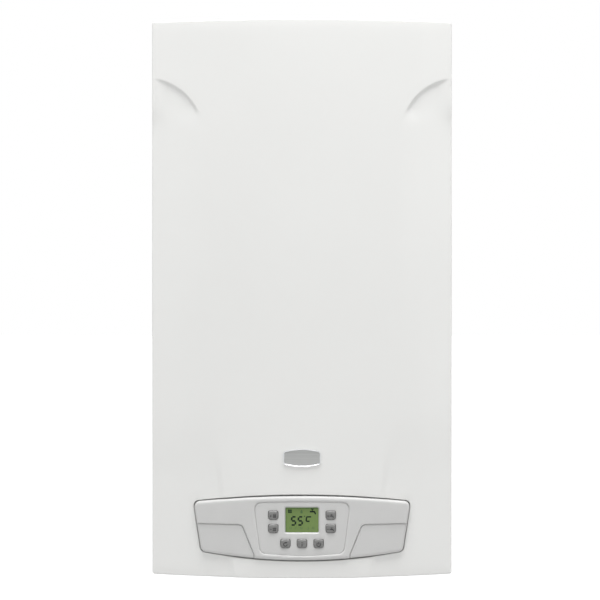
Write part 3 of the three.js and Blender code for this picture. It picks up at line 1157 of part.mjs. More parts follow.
function fanHousing() {
  const outer = prism('y', scrollShape(0), -FAN_FRONT, -FAN_BACK, FAN_X, FAN_Z);
  const inner = prism('y', scrollShape(SHEET), -FAN_FRONT + SHEET, -FAN_BACK - SHEET, FAN_X, FAN_Z);
  const inlet = rod('y', FAN_INLET_RADIUS, FAN_X, FAN_Z, -FAN_BACK - SHEET - 1, -FAN_BACK + 1);
  const hub = rod('y', FAN_SHAFT_RADIUS + 4, FAN_X, FAN_Z, -FAN_FRONT - 1, -FAN_FRONT + SHEET + 1, 12);
  const plate = block(-FAN_SPIGOT_RADIUS - 2, FAN_SPIGOT_RADIUS + 2, -FLUE_DEPTH - FAN_SPIGOT_RADIUS - 2,
    -FLUE_DEPTH + FAN_SPIGOT_RADIUS + 2, FAN_OUTLET_Z, FAN_OUTLET_Z + SHEET);
  const spigot = rod('z', FAN_SPIGOT_RADIUS, 0, -FLUE_DEPTH, FAN_OUTLET_Z, FAN_OUTLET_Z + FAN_SPIGOT_HEIGHT);
  const mouth = block(-FAN_OUTLET_HALF + SHEET, FAN_OUTLET_HALF - SHEET,
    -FAN_FRONT + SHEET, -FAN_BACK - SHEET, FAN_OUTLET_Z - 1, FAN_OUTLET_Z + FAN_SPIGOT_HEIGHT + 1);
  const bore = rod('z', FAN_SPIGOT_RADIUS - SHEET, 0, -FLUE_DEPTH, FAN_OUTLET_Z - 1,
    FAN_OUTLET_Z + FAN_SPIGOT_HEIGHT + 1);
  const nipple = rod('x', HOSE_SMALL - 1, -FLUE_DEPTH, FAN_OUTLET_Z - FAN_NIPPLE_DROP, FAN_OUTLET_HALF - 0.5,
    FAN_OUTLET_HALF + NIPPLE_REACH, SMALL_ROUND);
  return cut(join([outer, plate, spigot, nipple]), [inner, inlet, hub, mouth.intersect(bore)]);
}

function fanImpeller() {
  const back = FAN_BACK + SHEET + 3;
  const front = back + IMPELLER_DEPTH;
  const disc = rod('y', IMPELLER_RADIUS, FAN_X, FAN_Z, -front, -front + 2, FINE_ROUND);
  const ring = rod('y', IMPELLER_RADIUS, FAN_X, FAN_Z, -back - 2, -back, FINE_ROUND)
    .subtract(rod('y', IMPELLER_INNER, FAN_X, FAN_Z, -back - 3, -back + 1, FINE_ROUND));
  const blades = [];
  for (let i = 0; i < IMPELLER_BLADES; i += 1) {
    const blade = block(IMPELLER_INNER + 1, IMPELLER_RADIUS - 0.6, -front + 1, -back - 1, -0.9, 0.9);
    blades.push(blade.rotate([0, (360 * i) / IMPELLER_BLADES, 0]).translate([FAN_X, 0, FAN_Z]));
  }
  const hub = rod('y', 9, FAN_X, FAN_Z, -front + 1, -front + 14, 16);
  const shaft = rod('y', FAN_SHAFT_RADIUS, FAN_X, FAN_Z, -(FAN_FRONT + 25), -front + 5, SMALL_ROUND);
  return join([disc, ring, ...blades, hub, shaft]);
}

function fanMotor() {
  const back = -(FAN_FRONT + FIT);
  const [can, tip] = [back - 8, back - FAN_MOTOR_LENGTH];
  const r = FAN_MOTOR_RADIUS;
  const drum = turned('y', [[0, can], [r - 4, can], [r, can - 3], [r, tip + 4], [r - 5, tip], [9, tip],
    [7, tip - 4], [0, tip - 4]], FAN_X, FAN_Z, 24);
  const arms = [0, 1, 2].map((i) => {
    const arm = block(-5, 5, can - 4, can + 1, 0, IMPELLER_RADIUS + 2);
    const foot = block(-5, 5, can - 4, back, IMPELLER_RADIUS - 6, IMPELLER_RADIUS + 2);
    return arm.add(foot).rotate([0, 60 + 120 * i, 0]).translate([FAN_X, 0, FAN_Z]);
  });
  const bore = rod('y', FAN_SHAFT_RADIUS + FIT, FAN_X, FAN_Z, -(FAN_FRONT + 27), back + 1, SMALL_ROUND);
  return join([drum, ...arms]).subtract(bore);
}

function airPressureSwitch() {
  const back = -(CHAMBER_INNER_BACK + FIT);
  const r = SWITCH_RADIUS;
  const drum = turned('y', [[0, back], [r - 8, back], [r - 8, back - 8], [r, back - 9], [r, back - 13],
    [r - 7, back - 15], [r - 9, back - SWITCH_DEPTH], [0, back - SWITCH_DEPTH]], SWITCH_X, SWITCH_Z, 24);
  const nipple = rod('z', HOSE_SMALL - 1, SWITCH_X, back - SWITCH_NIPPLE_DEPTH, SWITCH_Z - r - NIPPLE_REACH,
    SWITCH_Z - r + 3, SMALL_ROUND);
  const foot = block(SWITCH_X - r - 8, SWITCH_X + r + 8, back - 2, back, SWITCH_Z - 8, SWITCH_Z + 8);
  return join([drum, nipple, foot]);
}

function pressureTube() {
  const y = -(CHAMBER_INNER_BACK + FIT) - SWITCH_NIPPLE_DEPTH;
  const start = SWITCH_Z - SWITCH_RADIUS - NIPPLE_REACH - FIT;
  const end = FAN_OUTLET_HALF + NIPPLE_REACH + FIT;
  const endZ = FAN_OUTLET_Z - FAN_NIPPLE_DROP;
  const corners = [
    [SWITCH_X, y, start],
    [SWITCH_X, y, start - TUBE_DROP],
    [SWITCH_X - TUBE_SWING, -FLUE_DEPTH, start - TUBE_DROP],
    [end + TUBE_LEAD, -FLUE_DEPTH, start + TUBE_SAG],
    [end + TUBE_LEAD, -FLUE_DEPTH, endZ],
    [end, -FLUE_DEPTH, endZ],
  ];
  return pipe(corners, HOSE_SMALL, TUBE_BEND, 22, 6);
}

// ---------------------------------------------------------------- expansion vessel

function expansionVessel() {
  const r = VESSEL_RADIUS;
  const form = (inset) => {
    const [back, front] = [-(VESSEL_BACK + inset), -(VESSEL_FRONT - inset)];
    const rim = VESSEL_DEPTH / 2 - 5;
    const profile = [[0, back], [r * 0.72 - inset, back], [r - 6 - inset, back - rim * 0.5],
      [r - 2 - inset, back - rim + inset], [r - inset, back - rim + inset], [r - inset, front + rim - inset],
      [r - 2 - inset, front + rim - inset], [r - 6 - inset, front + rim * 0.5], [r * 0.72 - inset, front],
      [0, front]];
    return turned('y', profile, 0, VESSEL_Z, FINE_ROUND);
  };
  const boss = rod('y', VESSEL_BOSS_RADIUS, 0, VESSEL_Z, -VESSEL_BACK - 0.5, -(DEPTH_BACK + FIT));
  const foot = VESSEL_PORT_FOOT_Z;
  const skin = foot + VESSEL_PORT_REACH;
  const port = rod('z', VESSEL_PORT_RADIUS, VESSEL_PORT_X, VESSEL_Y, foot, skin + VESSEL_PORT_ROOT, 12);
  const bore = rod('z', VESSEL_PORT_BORE, VESSEL_PORT_X, VESSEL_Y, foot - 1, skin + VESSEL_PORT_DEEP,
    SMALL_ROUND);
  return form(0).add(boss).add(port).subtract(form(VESSEL_WALL)).subtract(bore);
}

function vesselHose() {
  const top = VESSEL_PORT_FOOT_Z - FIT;
  const behind = -(DEPTH_BACK + HOSE_RADIUS + HOSE_BACK_GAP);
  const corners = [
    [VESSEL_PORT_X, VESSEL_Y, top],
    [VESSEL_PORT_X, VESSEL_Y, top - HOSE_DROP],
    [RETURN_X, behind, PUMP_Z + HOSE_TURN_LIFT],
    [RETURN_X, behind, HOSE_PORT_Z],
    [RETURN_X, HOSE_PORT_Y + FIT, HOSE_PORT_Z],
  ];
  return pipe(corners, HOSE_RADIUS, HOSE_BEND, 24, 6);
}

// ---------------------------------------------------------------- water and gas groups

// A casting column above the base plate with its threaded tail and nut below it.
function portColumn(x, radius, top) {
  return join([
    rod('z', radius, x, PORT_Y, BASE_TOP + FIT, top),
    rod('z', PORT_RADIUS, x, PORT_Y, PORT_FOOT_Z, BASE_TOP + 1),
    rod('z', NUT_RADIUS, x, PORT_Y, BASE_Z - NUT_GAP - NUT_HEIGHT, BASE_Z - NUT_GAP, 6),
  ]);
}

function flowGroup() {
  const bodies = [
    portColumn(FLOW_X, COLUMN_RADIUS, VALVE_TOP_Z),
    portColumn(HOT_X, SENSOR_RADIUS, PLATE_HX_PORT_Z + HOT_COLUMN_RISE),
    rod('x', BRIDGE_RADIUS, PORT_Y, BRIDGE_Z, FLOW_X, HOT_X),
    rod('y', BRIDGE_RADIUS, HOT_X, PLATE_HX_PORT_Z, PORT_Y, -(PLATE_HX_FRONT + FIT)),
    rod('y', PIPE_RADIUS + 3, FLOW_X, FLOW_PORT_Z, PORT_Y - FLOW_PORT_REACH, PORT_Y),
  ];
  const bores = [
    rod('z', PORT_BORE, FLOW_X, PORT_Y, PORT_FOOT_Z - 1, VALVE_TOP_Z - VALVE_FLOOR),
    rod('z', VALVE_BORE, FLOW_X, PORT_Y, BRIDGE_Z - VALVE_SUMP, VALVE_TOP_Z + 1),
    rod('z', PORT_BORE, HOT_X, PORT_Y, PORT_FOOT_Z - 1, PLATE_HX_PORT_Z + HOT_BORE_RISE),
    rod('y', PIPE_RADIUS - 2, FLOW_X, FLOW_PORT_Z, PORT_Y - FLOW_PORT_REACH - 1, PORT_Y, 12),
    rod('y', PIPE_RADIUS - 2, HOT_X, PLATE_HX_PORT_Z, PORT_Y, -PLATE_HX_FRONT + 1, 12),
  ];
  return cut(join(bodies), bores);
}

function returnGroup() {
  const bodies = [
    portColumn(RETURN_X, COLUMN_RADIUS, PUMP_SEAT_Z),
    portColumn(COLD_X, SENSOR_RADIUS, SENSOR_TOP_Z),
    rod('x', BRIDGE_RADIUS, PORT_Y, BRIDGE_Z, COLD_X, RETURN_X),
    rod('y', BRIDGE_RADIUS, COLD_X, PLATE_HX_PORT_Z, PORT_Y, -(PLATE_HX_FRONT + FIT)),
    rod('y', BRIDGE_RADIUS, RELIEF_X, RELIEF_Z, PORT_Y - RELIEF_REACH, PORT_Y),
    rod('z', TAP_RADIUS, RELIEF_X, -TAP_DEPTH, TAP_KNOB_TOP_Z + FIT, RELIEF_Z, 14),
    rod('y', HOSE_RADIUS + 2, RETURN_X, HOSE_PORT_Z, PORT_Y, HOSE_PORT_Y, 12),
  ];
  const bores = [
    rod('z', PORT_BORE, RETURN_X, PORT_Y, PORT_FOOT_Z - 1, PUMP_SEAT_Z + 1),
    rod('z', PORT_BORE, COLD_X, PORT_Y, PORT_FOOT_Z - 1, SENSOR_TOP_Z - SENSOR_ROOF),
    rod('z', SENSOR_BORE, COLD_X, PORT_Y, TURBINE_Z - SENSOR_SUMP, SENSOR_TOP_Z - SENSOR_ROOF),
    rod('y', PIPE_RADIUS - 2, COLD_X, PLATE_HX_PORT_Z, PORT_Y, -PLATE_HX_FRONT + 1, 12),
    rod('y', HOSE_RADIUS - 2, RETURN_X, HOSE_PORT_Z, PORT_Y, HOSE_PORT_Y + 1, SMALL_ROUND),
  ];
  const reach = TURBINE_HEIGHT / 2 + TURBINE_BAR_GAP;
  const half = SENSOR_BORE + 1;
  const bars = [TURBINE_Z - reach - TURBINE_BAR, TURBINE_Z + reach].map((z) =>
    block(COLD_X - half, COLD_X + half, PORT_Y - 1.2, PORT_Y + 1.2, z, z + TURBINE_BAR));
  return cut(join(bodies), bores).add(join(bars));
}

function flowTurbine() {
  const half = TURBINE_HEIGHT / 2;
  const reach = half + TURBINE_BAR_GAP - 0.4;
  const hub = rod('z', 2.4, COLD_X, PORT_Y, TURBINE_Z - reach, TURBINE_Z + reach, SMALL_ROUND);
  const vanes = [45, 135].map((turn) => {
    const vane = block(-TURBINE_RADIUS, TURBINE_RADIUS, -0.7, 0.7, TURBINE_Z - half, TURBINE_Z + half);
    return vane.rotate([0, 0, turn]).translate([COLD_X, PORT_Y, 0]);
  });
  return join([hub, ...vanes]);
}

function valveStem() {
  const plug = (z) => rod('z', STEM_PLUG_RADIUS, FLOW_X, PORT_Y, z, z + STEM_PLUG_HEIGHT, 16);
  const stem = rod('z', STEM_RADIUS, FLOW_X, PORT_Y, BRIDGE_Z, VALVE_TOP_Z + STEM_RISE, SMALL_ROUND);
  return join([stem, plug(BRIDGE_Z + STEM_LOW_PLUG), plug(VALVE_TOP_Z - STEM_HIGH_PLUG)]);
}

function valveActuator() {
  const z = VALVE_TOP_Z + FIT;
  const top = z + ACTUATOR_HEIGHT;
  const w = ACTUATOR_HALF;
  const crownHalf = w - ACTUATOR_CROWN_INSET;
  const collar = rod('z', COLUMN_RADIUS + 1, FLOW_X, PORT_Y, z, z + ACTUATOR_COLLAR + 1);
  const shape = roundedRect(FLOW_X - w, FLOW_X + w, PORT_Y - w, PORT_Y + w, ACTUATOR_CORNER);
  const housing = prism('z', shape, z + ACTUATOR_COLLAR, top, 0, 0, 3);
  const crown = block(FLOW_X - crownHalf, FLOW_X + crownHalf, PORT_Y - crownHalf, PORT_Y + crownHalf,
    top - 1, top + ACTUATOR_CROWN);
  const boreTop = VALVE_TOP_Z + STEM_RISE + STEM_TRAVEL + 4;
  const bore = rod('z', STEM_RADIUS + HOLE_GAP, FLOW_X, PORT_Y, z - 1, boreTop, SMALL_ROUND);
  return join([collar, housing, crown]).subtract(bore);
}

function plateHeatExchanger() {
  const [back, front] = [PLATE_HX_FRONT - PLATE_HX_DEPTH, PLATE_HX_FRONT];
  const [w, z0, z1] = [PLATE_HX_HALF, PLATE_HX_BOTTOM_Z, PLATE_HX_TOP_Z];
  const core = block(-w + 3, w - 3, -front + 0.5, -back - 0.5, z0 + 3, z1 - 3);
  const pitch = PLATE_HX_DEPTH / PLATE_HX_RIBS;
  const plates = [];
  for (let i = 0; i < PLATE_HX_RIBS; i += 1) {
    const y = -front + pitch * i;
    plates.push(prism('y', roundedRect(-w, w, z0, z1, 10), y, y + pitch * 0.6, 0, 0, 1));
  }
  const hollow = block(-w + 9, w - 9, -front + 8, -back - 8, z0 + 9, z1 - 9);
  const ports = [HOT_X, COLD_X].map((x) =>
    rod('y', PIPE_RADIUS - 2, x, PLATE_HX_PORT_Z, -front - 1, -front + 12, 12));
  return cut(join([core, ...plates]), [hollow, ...ports]);
}

function pumpHousing() {
  const [back, front] = [-(PORT_DEPTH - PUMP_DEPTH / 2), -PUMP_FRONT];
  const bodies = [
    rod('y', PUMP_RADIUS, PUMP_X, PUMP_Z, front, back, FINE_ROUND),
    rod('z', COLUMN_RADIUS + 2, RETURN_X, PORT_Y, PUMP_SEAT_Z + FIT, PUMP_Z - PUMP_NECK_DROP),
    rod('z', PUMP_OUTLET_RADIUS, PUMP_OUTLET_X, PORT_Y, PUMP_Z, PUMP_OUTLET_Z),
    rod('z', VENT_RADIUS, VENT_X, PORT_Y, PUMP_Z + 20, VENT_SEAT_Z),
  ];
  const cavities = [
    rod('y', PUMP_RADIUS - PUMP_WALL, PUMP_X, PUMP_Z, front - 1, back - PUMP_WALL, FINE_ROUND),
    rod('z', PORT_BORE, RETURN_X, PORT_Y, PUMP_SEAT_Z - 1, PUMP_Z - 20, 16),
    rod('z', PORT_BORE, PUMP_OUTLET_X, PORT_Y, PUMP_Z, PUMP_OUTLET_Z + 1, 16),
    rod('z', VENT_BORE, VENT_X, PORT_Y, PUMP_Z + 10, VENT_SEAT_Z + 1, SMALL_ROUND),
  ];
  return cut(join(bodies), cavities);
}

function pumpImpeller() {
  const back = -(PORT_DEPTH - PUMP_DEPTH / 2 + PUMP_WALL + 6);
  const front = back - PUMP_ROTOR_DEPTH;
  const disc = (from, to) => rod('y', PUMP_ROTOR_RADIUS, PUMP_X, PUMP_Z, from, to, 24);
  const eye = rod('y', 12, PUMP_X, PUMP_Z, back - 3, back + 1, 16);
  const vanes = [];
  for (let i = 0; i < 6; i += 1) {
    const vane = block(10, PUMP_ROTOR_RADIUS - 1, front + 1, back - 1, -1, 1);
    vanes.push(vane.rotate([0, 60 * i, 0]).translate([PUMP_X, 0, PUMP_Z]));
  }
  const shaft = rod('y', PUMP_SHAFT_RADIUS, PUMP_X, PUMP_Z, -(PUMP_FRONT + PUMP_SHAFT_REACH), front + 1,
    12);
  return join([disc(front, front + 2), disc(back - 2, back).subtract(eye), ...vanes, shaft,
    rod('y', 8, PUMP_X, PUMP_Z, front + 1, back - 3, 12)]);
}

function pumpMotor() {
  const back = -(PUMP_FRONT + FIT);
  const tip = back - PUMP_MOTOR_LENGTH;
  const r = PUMP_MOTOR_RADIUS;
  const profile = [[0, back], [PUMP_RADIUS, back], [PUMP_RADIUS, back - 7], [r, back - 8], [r, tip + 5],
    [r - 5, tip], [12, tip], [10, tip - 3], [0, tip - 3]];
  const can = turned('y', profile, PUMP_X, PUMP_Z, FINE_ROUND);
  const terminalBox = block(PUMP_X - r - TERMINAL_OUT, PUMP_X - r + TERMINAL_IN, tip + TERMINAL_TIP_GAP,
    back - TERMINAL_BACK_GAP, PUMP_Z - TERMINAL_DROP, PUMP_Z + TERMINAL_RISE);
  const boreTip = -(PUMP_FRONT + PUMP_SHAFT_REACH + PUMP_SHAFT_END_GAP);
  const bore = rod('y', PUMP_SHAFT_RADIUS + FIT, PUMP_X, PUMP_Z, boreTip, back + 1, 12);
  return join([can, terminalBox]).subtract(bore);
}

function airVent() {
  const z = VENT_SEAT_Z + FIT;
  const top = z + VENT_HEIGHT;
  const profile = [[0, z], [VENT_RADIUS, z], [VENT_RADIUS + 2, z + 4], [VENT_RADIUS + 2, top - 14],
    [VENT_RADIUS - 3, top - 10], [6, top - 9], [6, top], [0, top]];
  return turned('z', profile, VENT_X, PORT_Y);
}

// A round grip with finger notches, turned about the given axis between two places.
function notchedKnob(axis, radius, a, b, from, to, notches) {
  const body = rod(axis, radius, a, b, from, to, 24);
  const tools = [];
  for (let i = 0; i < notches; i += 1) {
    const turn = (2 * Math.PI * i) / notches;
    const reach = radius + 1.4;
    tools.push(rod(axis, 2.8, a + reach * Math.cos(turn), b + reach * Math.sin(turn), from - 1, to + 1, 8));
  }
  return cut(body, tools);
}

function reliefValveKnob() {
  const back = PORT_Y - RELIEF_REACH - FIT;
  return notchedKnob('y', RELIEF_KNOB_RADIUS, RELIEF_X, RELIEF_Z, back - RELIEF_KNOB_LENGTH, back, 8);
}

function fillingTapKnob() {
  return notchedKnob('z', TAP_KNOB_RADIUS, RELIEF_X, -TAP_DEPTH, TAP_KNOB_FOOT_Z, TAP_KNOB_TOP_Z - 8, 6)
    .add(rod('z', TAP_RADIUS - 1, RELIEF_X, -TAP_DEPTH, TAP_KNOB_TOP_Z - 9, TAP_KNOB_TOP_Z, 14));
}

function pressureGauge() {
  const y = -GAUGE_DEPTH;
  const [foot, top] = [GAUGE_FOOT_Z, GAUGE_TOP_Z];
  const floor = foot + GAUGE_DIAL_SINK;
  const cup = rod('z', GAUGE_RADIUS, GAUGE_X, y, foot, top, 28);
  const dial = rod('z', GAUGE_RADIUS - GAUGE_RIM, GAUGE_X, y, foot - 1, floor, 28);
  const pivot = rod('z', 1.5, GAUGE_X, y, foot, floor + 3.5, SMALL_ROUND);
  const stem = rod('z', GAUGE_STEM_RADIUS, GAUGE_X, y, top - 1, BASE_TOP + GAUGE_STEM_TAIL, 12);
  const nut = rod('z', GAUGE_STEM_RADIUS + 4, GAUGE_X, y, BASE_TOP + FIT, BASE_TOP + 6, 6);
  return cut(cup, [dial, pivot]).add(join([stem, nut]));
}

function gaugeNeedle() {
  const z = GAUGE_FOOT_Z + GAUGE_DIAL_SINK - 2;
  const shape = outline([[-1.6, -5], [1.6, -5], [0.4, NEEDLE_LENGTH], [-0.4, NEEDLE_LENGTH]]);
  const hand = prism('z', shape, z, z + 0.8).rotate([0, 0, NEEDLE_ZERO])
    .translate([GAUGE_X, -GAUGE_DEPTH, 0]);
  const boss = rod('z', 2.6, GAUGE_X, -GAUGE_DEPTH, z - 0.6, z + 1.2, 12);
  const pin = rod('z', 1, GAUGE_X, -GAUGE_DEPTH, z, z + 4.5, SMALL_ROUND);
  return join([hand, boss, pin]);
}

function gaugeLens() {
  const radius = GAUGE_RADIUS - GAUGE_RIM - FIT;
  return rod('z', radius, GAUGE_X, -GAUGE_DEPTH, GAUGE_FOOT_Z + 0.5, GAUGE_FOOT_Z + 2, 28);
}

function gasValve() {
  const [back, front] = [-GAS_BODY_BACK, -(GAS_BODY_BACK + GAS_BODY_DEPTH)];
  const [z0, z1] = [GAS_BODY_BOTTOM_Z, GAS_BODY_TOP_Z];
  const h = GAS_BODY_HALF;
  const capTip = front - REGULATOR_REACH - REGULATOR_CAP_REACH;
  return join([
    prism('z', roundedRect(-h, h, front, back, 6), z0, z1, 0, 0, 3),
    rod('z', PORT_RADIUS, 0, PORT_Y, z0 - GAS_INLET_NUT, z0 + 2, 6),
    rod('z', GAS_COIL_RADIUS, GAS_COIL_X, back - GAS_COIL_GAP, z1 - 1, z1 + GAS_COIL_RISE),
    rod('z', GAS_PIPE_RADIUS + 3, 0, -GAS_OUTLET_DEPTH, z1 - 1, z1 + GAS_OUTLET_NUT, 6),
    rod('y', REGULATOR_RADIUS, 0, (z0 + z1) / 2, front - REGULATOR_REACH, front + 1),
    rod('y', REGULATOR_CAP_RADIUS, 0, (z0 + z1) / 2, capTip, front - REGULATOR_REACH + 1, 12),
    block(-h - GAS_PLUG_OUT, -h + 1, front + GAS_PLUG_NEAR, front + GAS_PLUG_FAR, z0 + GAS_PLUG_LIFT,
      z1 - GAS_PLUG_DROP),
  ]);
}

function gasInletPipe() {
  const top = GAS_BODY_BOTTOM_Z - GAS_INLET_NUT - FIT;
  const column = portColumn(0, GAS_PIPE_RADIUS + 1, top);
  const nut = rod('z', NUT_RADIUS - 3, 0, PORT_Y, top - 14, top, 6);
  const bore = rod('z', GAS_PIPE_RADIUS - GAS_PIPE_WALL, 0, PORT_Y, PORT_FOOT_Z - 1, top + 1, 16);
  return column.add(nut).subtract(bore);
}

function gasSupplyPipe() {
  const start = GAS_BODY_TOP_Z + GAS_OUTLET_NUT + FIT;
  const corners = [
    [0, -GAS_OUTLET_DEPTH, start],
    [0, -GAS_OUTLET_DEPTH, start + GAS_RISE],
    [0, MANIFOLD_Y, CHAMBER_Z - GAS_APPROACH],
    [0, MANIFOLD_Y, MANIFOLD_FOOT_Z - FIT],
  ];
  return pipe(corners, GAS_PIPE_RADIUS - 1, GAS_PIPE_BEND, 14);
}

function flowPipe() {
  const startY = PORT_Y - FLOW_PORT_REACH - FIT;
  const corners = [
    [FLOW_X, startY, FLOW_PORT_Z],
    [FLOW_X, startY - FLOW_LEAD, FLOW_PORT_Z],
    [-RISING_PIPE_X, -STACK_DEPTH, FLOW_PORT_Z + FLOW_RISE],
    [-RISING_PIPE_X, -STACK_DEPTH, EXCHANGER_AXIS],
    [-BEND_END - FIT, -STACK_DEPTH, EXCHANGER_AXIS],
  ];
  return pipe(corners, PIPE_RADIUS, PIPE_BEND, 32);
}

function returnPipe() {
  const start = PUMP_OUTLET_Z + FIT;
  const corners = [
    [PUMP_OUTLET_X, PORT_Y, start],
    [PUMP_OUTLET_X, PORT_Y, start + RETURN_LEAD],
    [RISING_PIPE_X, -STACK_DEPTH, CHAMBER_Z - RETURN_APPROACH],
    [RISING_PIPE_X, -STACK_DEPTH, EXCHANGER_AXIS],
    [BEND_END + FIT, -STACK_DEPTH, EXCHANGER_AXIS],
  ];
  return pipe(corners, PIPE_RADIUS, PIPE_BEND, 22);
}

// ---------------------------------------------------------------- materials and assembly

function finish(color, roughness, metalness = 0) {
  return new THREE.MeshStandardMaterial({ color, roughness, metalness });
}

const WHITE_PAINT = finish(0xecedea, 0.35);
const GALVANISED = finish(0xb4b8ba, 0.45, 0.8);
const GREY_MOULDING = finish(0xc6c6c4, 0.5);
const GREY_BUTTON = finish(0x8a8a88, 0.5);
const GREEN_DISPLAY = finish(0x76945a, 0.25);
const BLACK_PLASTIC = finish(0x24262a, 0.5);
const CIRCUIT_GREEN = finish(0x2d6b45, 0.6);
const CLEAR_GLASS = finish(0xd8e4e6, 0.1);
const CERAMIC_WHITE = finish(0xe6e2d8, 0.7);
const STEEL = finish(0xa9acae, 0.35, 0.9);
const COPPER = finish(0xb8704a, 0.35, 0.9);
const BRASS = finish(0xb79a55, 0.35, 0.9);
const ALUMINIUM = finish(0xc2c5c8, 0.4, 0.9);
const VESSEL_RED = finish(0xa8322c, 0.4);
const KNOB_RED = finish(0xc2302a, 0.45);
const KNOB_BLACK = finish(0x303236, 0.5);
const HOSE_BRAID = finish(0x9a9da0, 0.5, 0.6);
const SILICONE = finish(0xd9d4c4, 0.6);
const PUMP_GREEN = finish(0x3c4a44, 0.45, 0.3);

const boiler = new THREE.Group();

function place(name, solid, material) {
  const { vertProperties, triVerts, numProp } = solid.getMesh();
  const positions = new Float32Array((vertProperties.length / numProp) * 3);
  for (let i = 0; i < positions.length / 3; i += 1) {
    positions.set(vertProperties.subarray(i * numProp, i * numProp + 3), i * 3);
  }
  const geometry = new THREE.BufferGeometry();
  geometry.setAttribute('position', new THREE.BufferAttribute(positions, 3));
  geometry.setIndex(new THREE.BufferAttribute(new Uint32Array(triVerts), 1));
  geometry.computeVertexNormals();
  const mesh = new THREE.Mesh(geometry, material);
  mesh.name = name;
  boiler.add(mesh);
}

place('wall_rail', wallRail(), GALVANISED);
place('back_panel', backPanel(), GALVANISED);
place('side_panel_left', sidePanel(-1), WHITE_PAINT);
place('side_panel_right', sidePanel(1), WHITE_PAINT);
place('top_panel', topPanel(), GALVANISED);
place('base_plate', basePlate(), GALVANISED);
place('flue_collar', flueCollar(), ALUMINIUM);

place('front_cover', frontCover(), WHITE_PAINT);
place('badge_plate', badgePlate(), STEEL);
place('cover_screw_left', coverScrew(-1), STEEL);
place('cover_screw_right', coverScrew(1), STEEL);

place('fascia', fascia(), GREY_MOULDING);
place('key_panel', keyPanel(), GREY_MOULDING);
place('lcd_window', lcdWindow(), GREEN_DISPLAY);
for (const [name, x, z] of BUTTONS) place(name, button(x, z), GREY_BUTTON);
place('control_box', controlBox(), BLACK_PLASTIC);
place('main_circuit_board', mainCircuitBoard(), CIRCUIT_GREEN);

place('chamber_shell', chamberShell(), GALVANISED);
place('chamber_lid', chamberLid(), GALVANISED);
place('sight_glass', sightGlass(), CLEAR_GLASS);
place('firebox', firebox(), STEEL);
place('firebox_insulation', fireboxInsulation(), CERAMIC_WHITE);
place('burner', burner(), STEEL);
place('gas_manifold', gasManifold(), ALUMINIUM);
place('ignition_electrode', ignitionElectrode(), CERAMIC_WHITE);
place('main_heat_exchanger', mainHeatExchanger(), COPPER);
place('fume_hood', fumeHood(), GALVANISED);
place('fan_housing', fanHousing(), GALVANISED);
place('fan_impeller', fanImpeller(), ALUMINIUM);
place('fan_motor', fanMotor(), BLACK_PLASTIC);
place('air_pressure_switch', airPressureSwitch(), BLACK_PLASTIC);
place('pressure_tube', pressureTube(), SILICONE);

place('expansion_vessel', expansionVessel(), VESSEL_RED);
place('vessel_hose', vesselHose(), HOSE_BRAID);

place('flow_group', flowGroup(), BRASS);
place('valve_stem', valveStem(), STEEL);
place('valve_actuator', valveActuator(), BLACK_PLASTIC);
place('return_group', returnGroup(), BRASS);
place('flow_turbine', flowTurbine(), CERAMIC_WHITE);
place('plate_heat_exchanger', plateHeatExchanger(), STEEL);
place('pump_housing', pumpHousing(), PUMP_GREEN);
place('pump_impeller', pumpImpeller(), CERAMIC_WHITE);
place('pump_motor', pumpMotor(), PUMP_GREEN);
place('air_vent', airVent(), BRASS);
place('relief_valve_knob', reliefValveKnob(), KNOB_RED);
place('filling_tap_knob', fillingTapKnob(), KNOB_BLACK);
place('pressure_gauge', pressureGauge(), BLACK_PLASTIC);
place('gauge_needle', gaugeNeedle(), KNOB_BLACK);
place('gauge_lens', gaugeLens(), CLEAR_GLASS);
place('gas_valve', gasValve(), ALUMINIUM);
place('gas_inlet_pipe', gasInletPipe(), BRASS);
place('gas_supply_pipe', gasSupplyPipe(), COPPER);
place('flow_pipe', flowPipe(), COPPER);
place('return_pipe', returnPipe(), COPPER);

boiler.position.set(0, 0, -RAIL_Z);

export default boiler;
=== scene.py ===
import json
import math

import bmesh
import bpy
import numpy as np
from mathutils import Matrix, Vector
from mathutils.geometry import delaunay_2d_cdt


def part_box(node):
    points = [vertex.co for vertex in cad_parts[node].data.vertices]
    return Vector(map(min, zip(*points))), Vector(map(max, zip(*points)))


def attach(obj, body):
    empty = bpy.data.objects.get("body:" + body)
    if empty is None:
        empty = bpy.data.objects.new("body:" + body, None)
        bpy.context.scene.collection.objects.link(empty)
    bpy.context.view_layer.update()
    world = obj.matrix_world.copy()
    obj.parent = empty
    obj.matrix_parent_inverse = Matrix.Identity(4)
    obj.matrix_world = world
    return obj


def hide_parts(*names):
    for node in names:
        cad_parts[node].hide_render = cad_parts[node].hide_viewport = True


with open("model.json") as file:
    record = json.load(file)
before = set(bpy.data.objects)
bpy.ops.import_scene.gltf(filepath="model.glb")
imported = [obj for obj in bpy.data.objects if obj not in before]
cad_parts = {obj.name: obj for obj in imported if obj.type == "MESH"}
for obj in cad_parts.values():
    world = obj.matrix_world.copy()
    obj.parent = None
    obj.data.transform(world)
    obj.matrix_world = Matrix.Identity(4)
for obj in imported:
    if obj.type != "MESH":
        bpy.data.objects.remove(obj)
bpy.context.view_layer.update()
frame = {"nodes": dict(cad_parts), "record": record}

# Front views are drawn in millimetres: x to the right, h above the casing's lower edge, and depth
# from the wall towards the room. place() turns them into the row frame.

MM = 0.001
SLOTS = {row["node"]: row["material_slot"] for row in frame["record"]["subparts"]}
BODIES = {node: body for body, nodes in frame["record"]["behaviour"]["bodies"].items() for node in nodes}
COVER_LOW, COVER_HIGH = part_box("front_cover")
FOOT = COVER_LOW.z
HALF_WIDTH = COVER_HIGH.x / MM
CASING_HEIGHT = (COVER_HIGH.z - FOOT) / MM
SEAM_DEPTH = -COVER_HIGH.y / MM
BULGE = 30.0
CORNER_DEPTH = -COVER_LOW.y / MM - BULGE

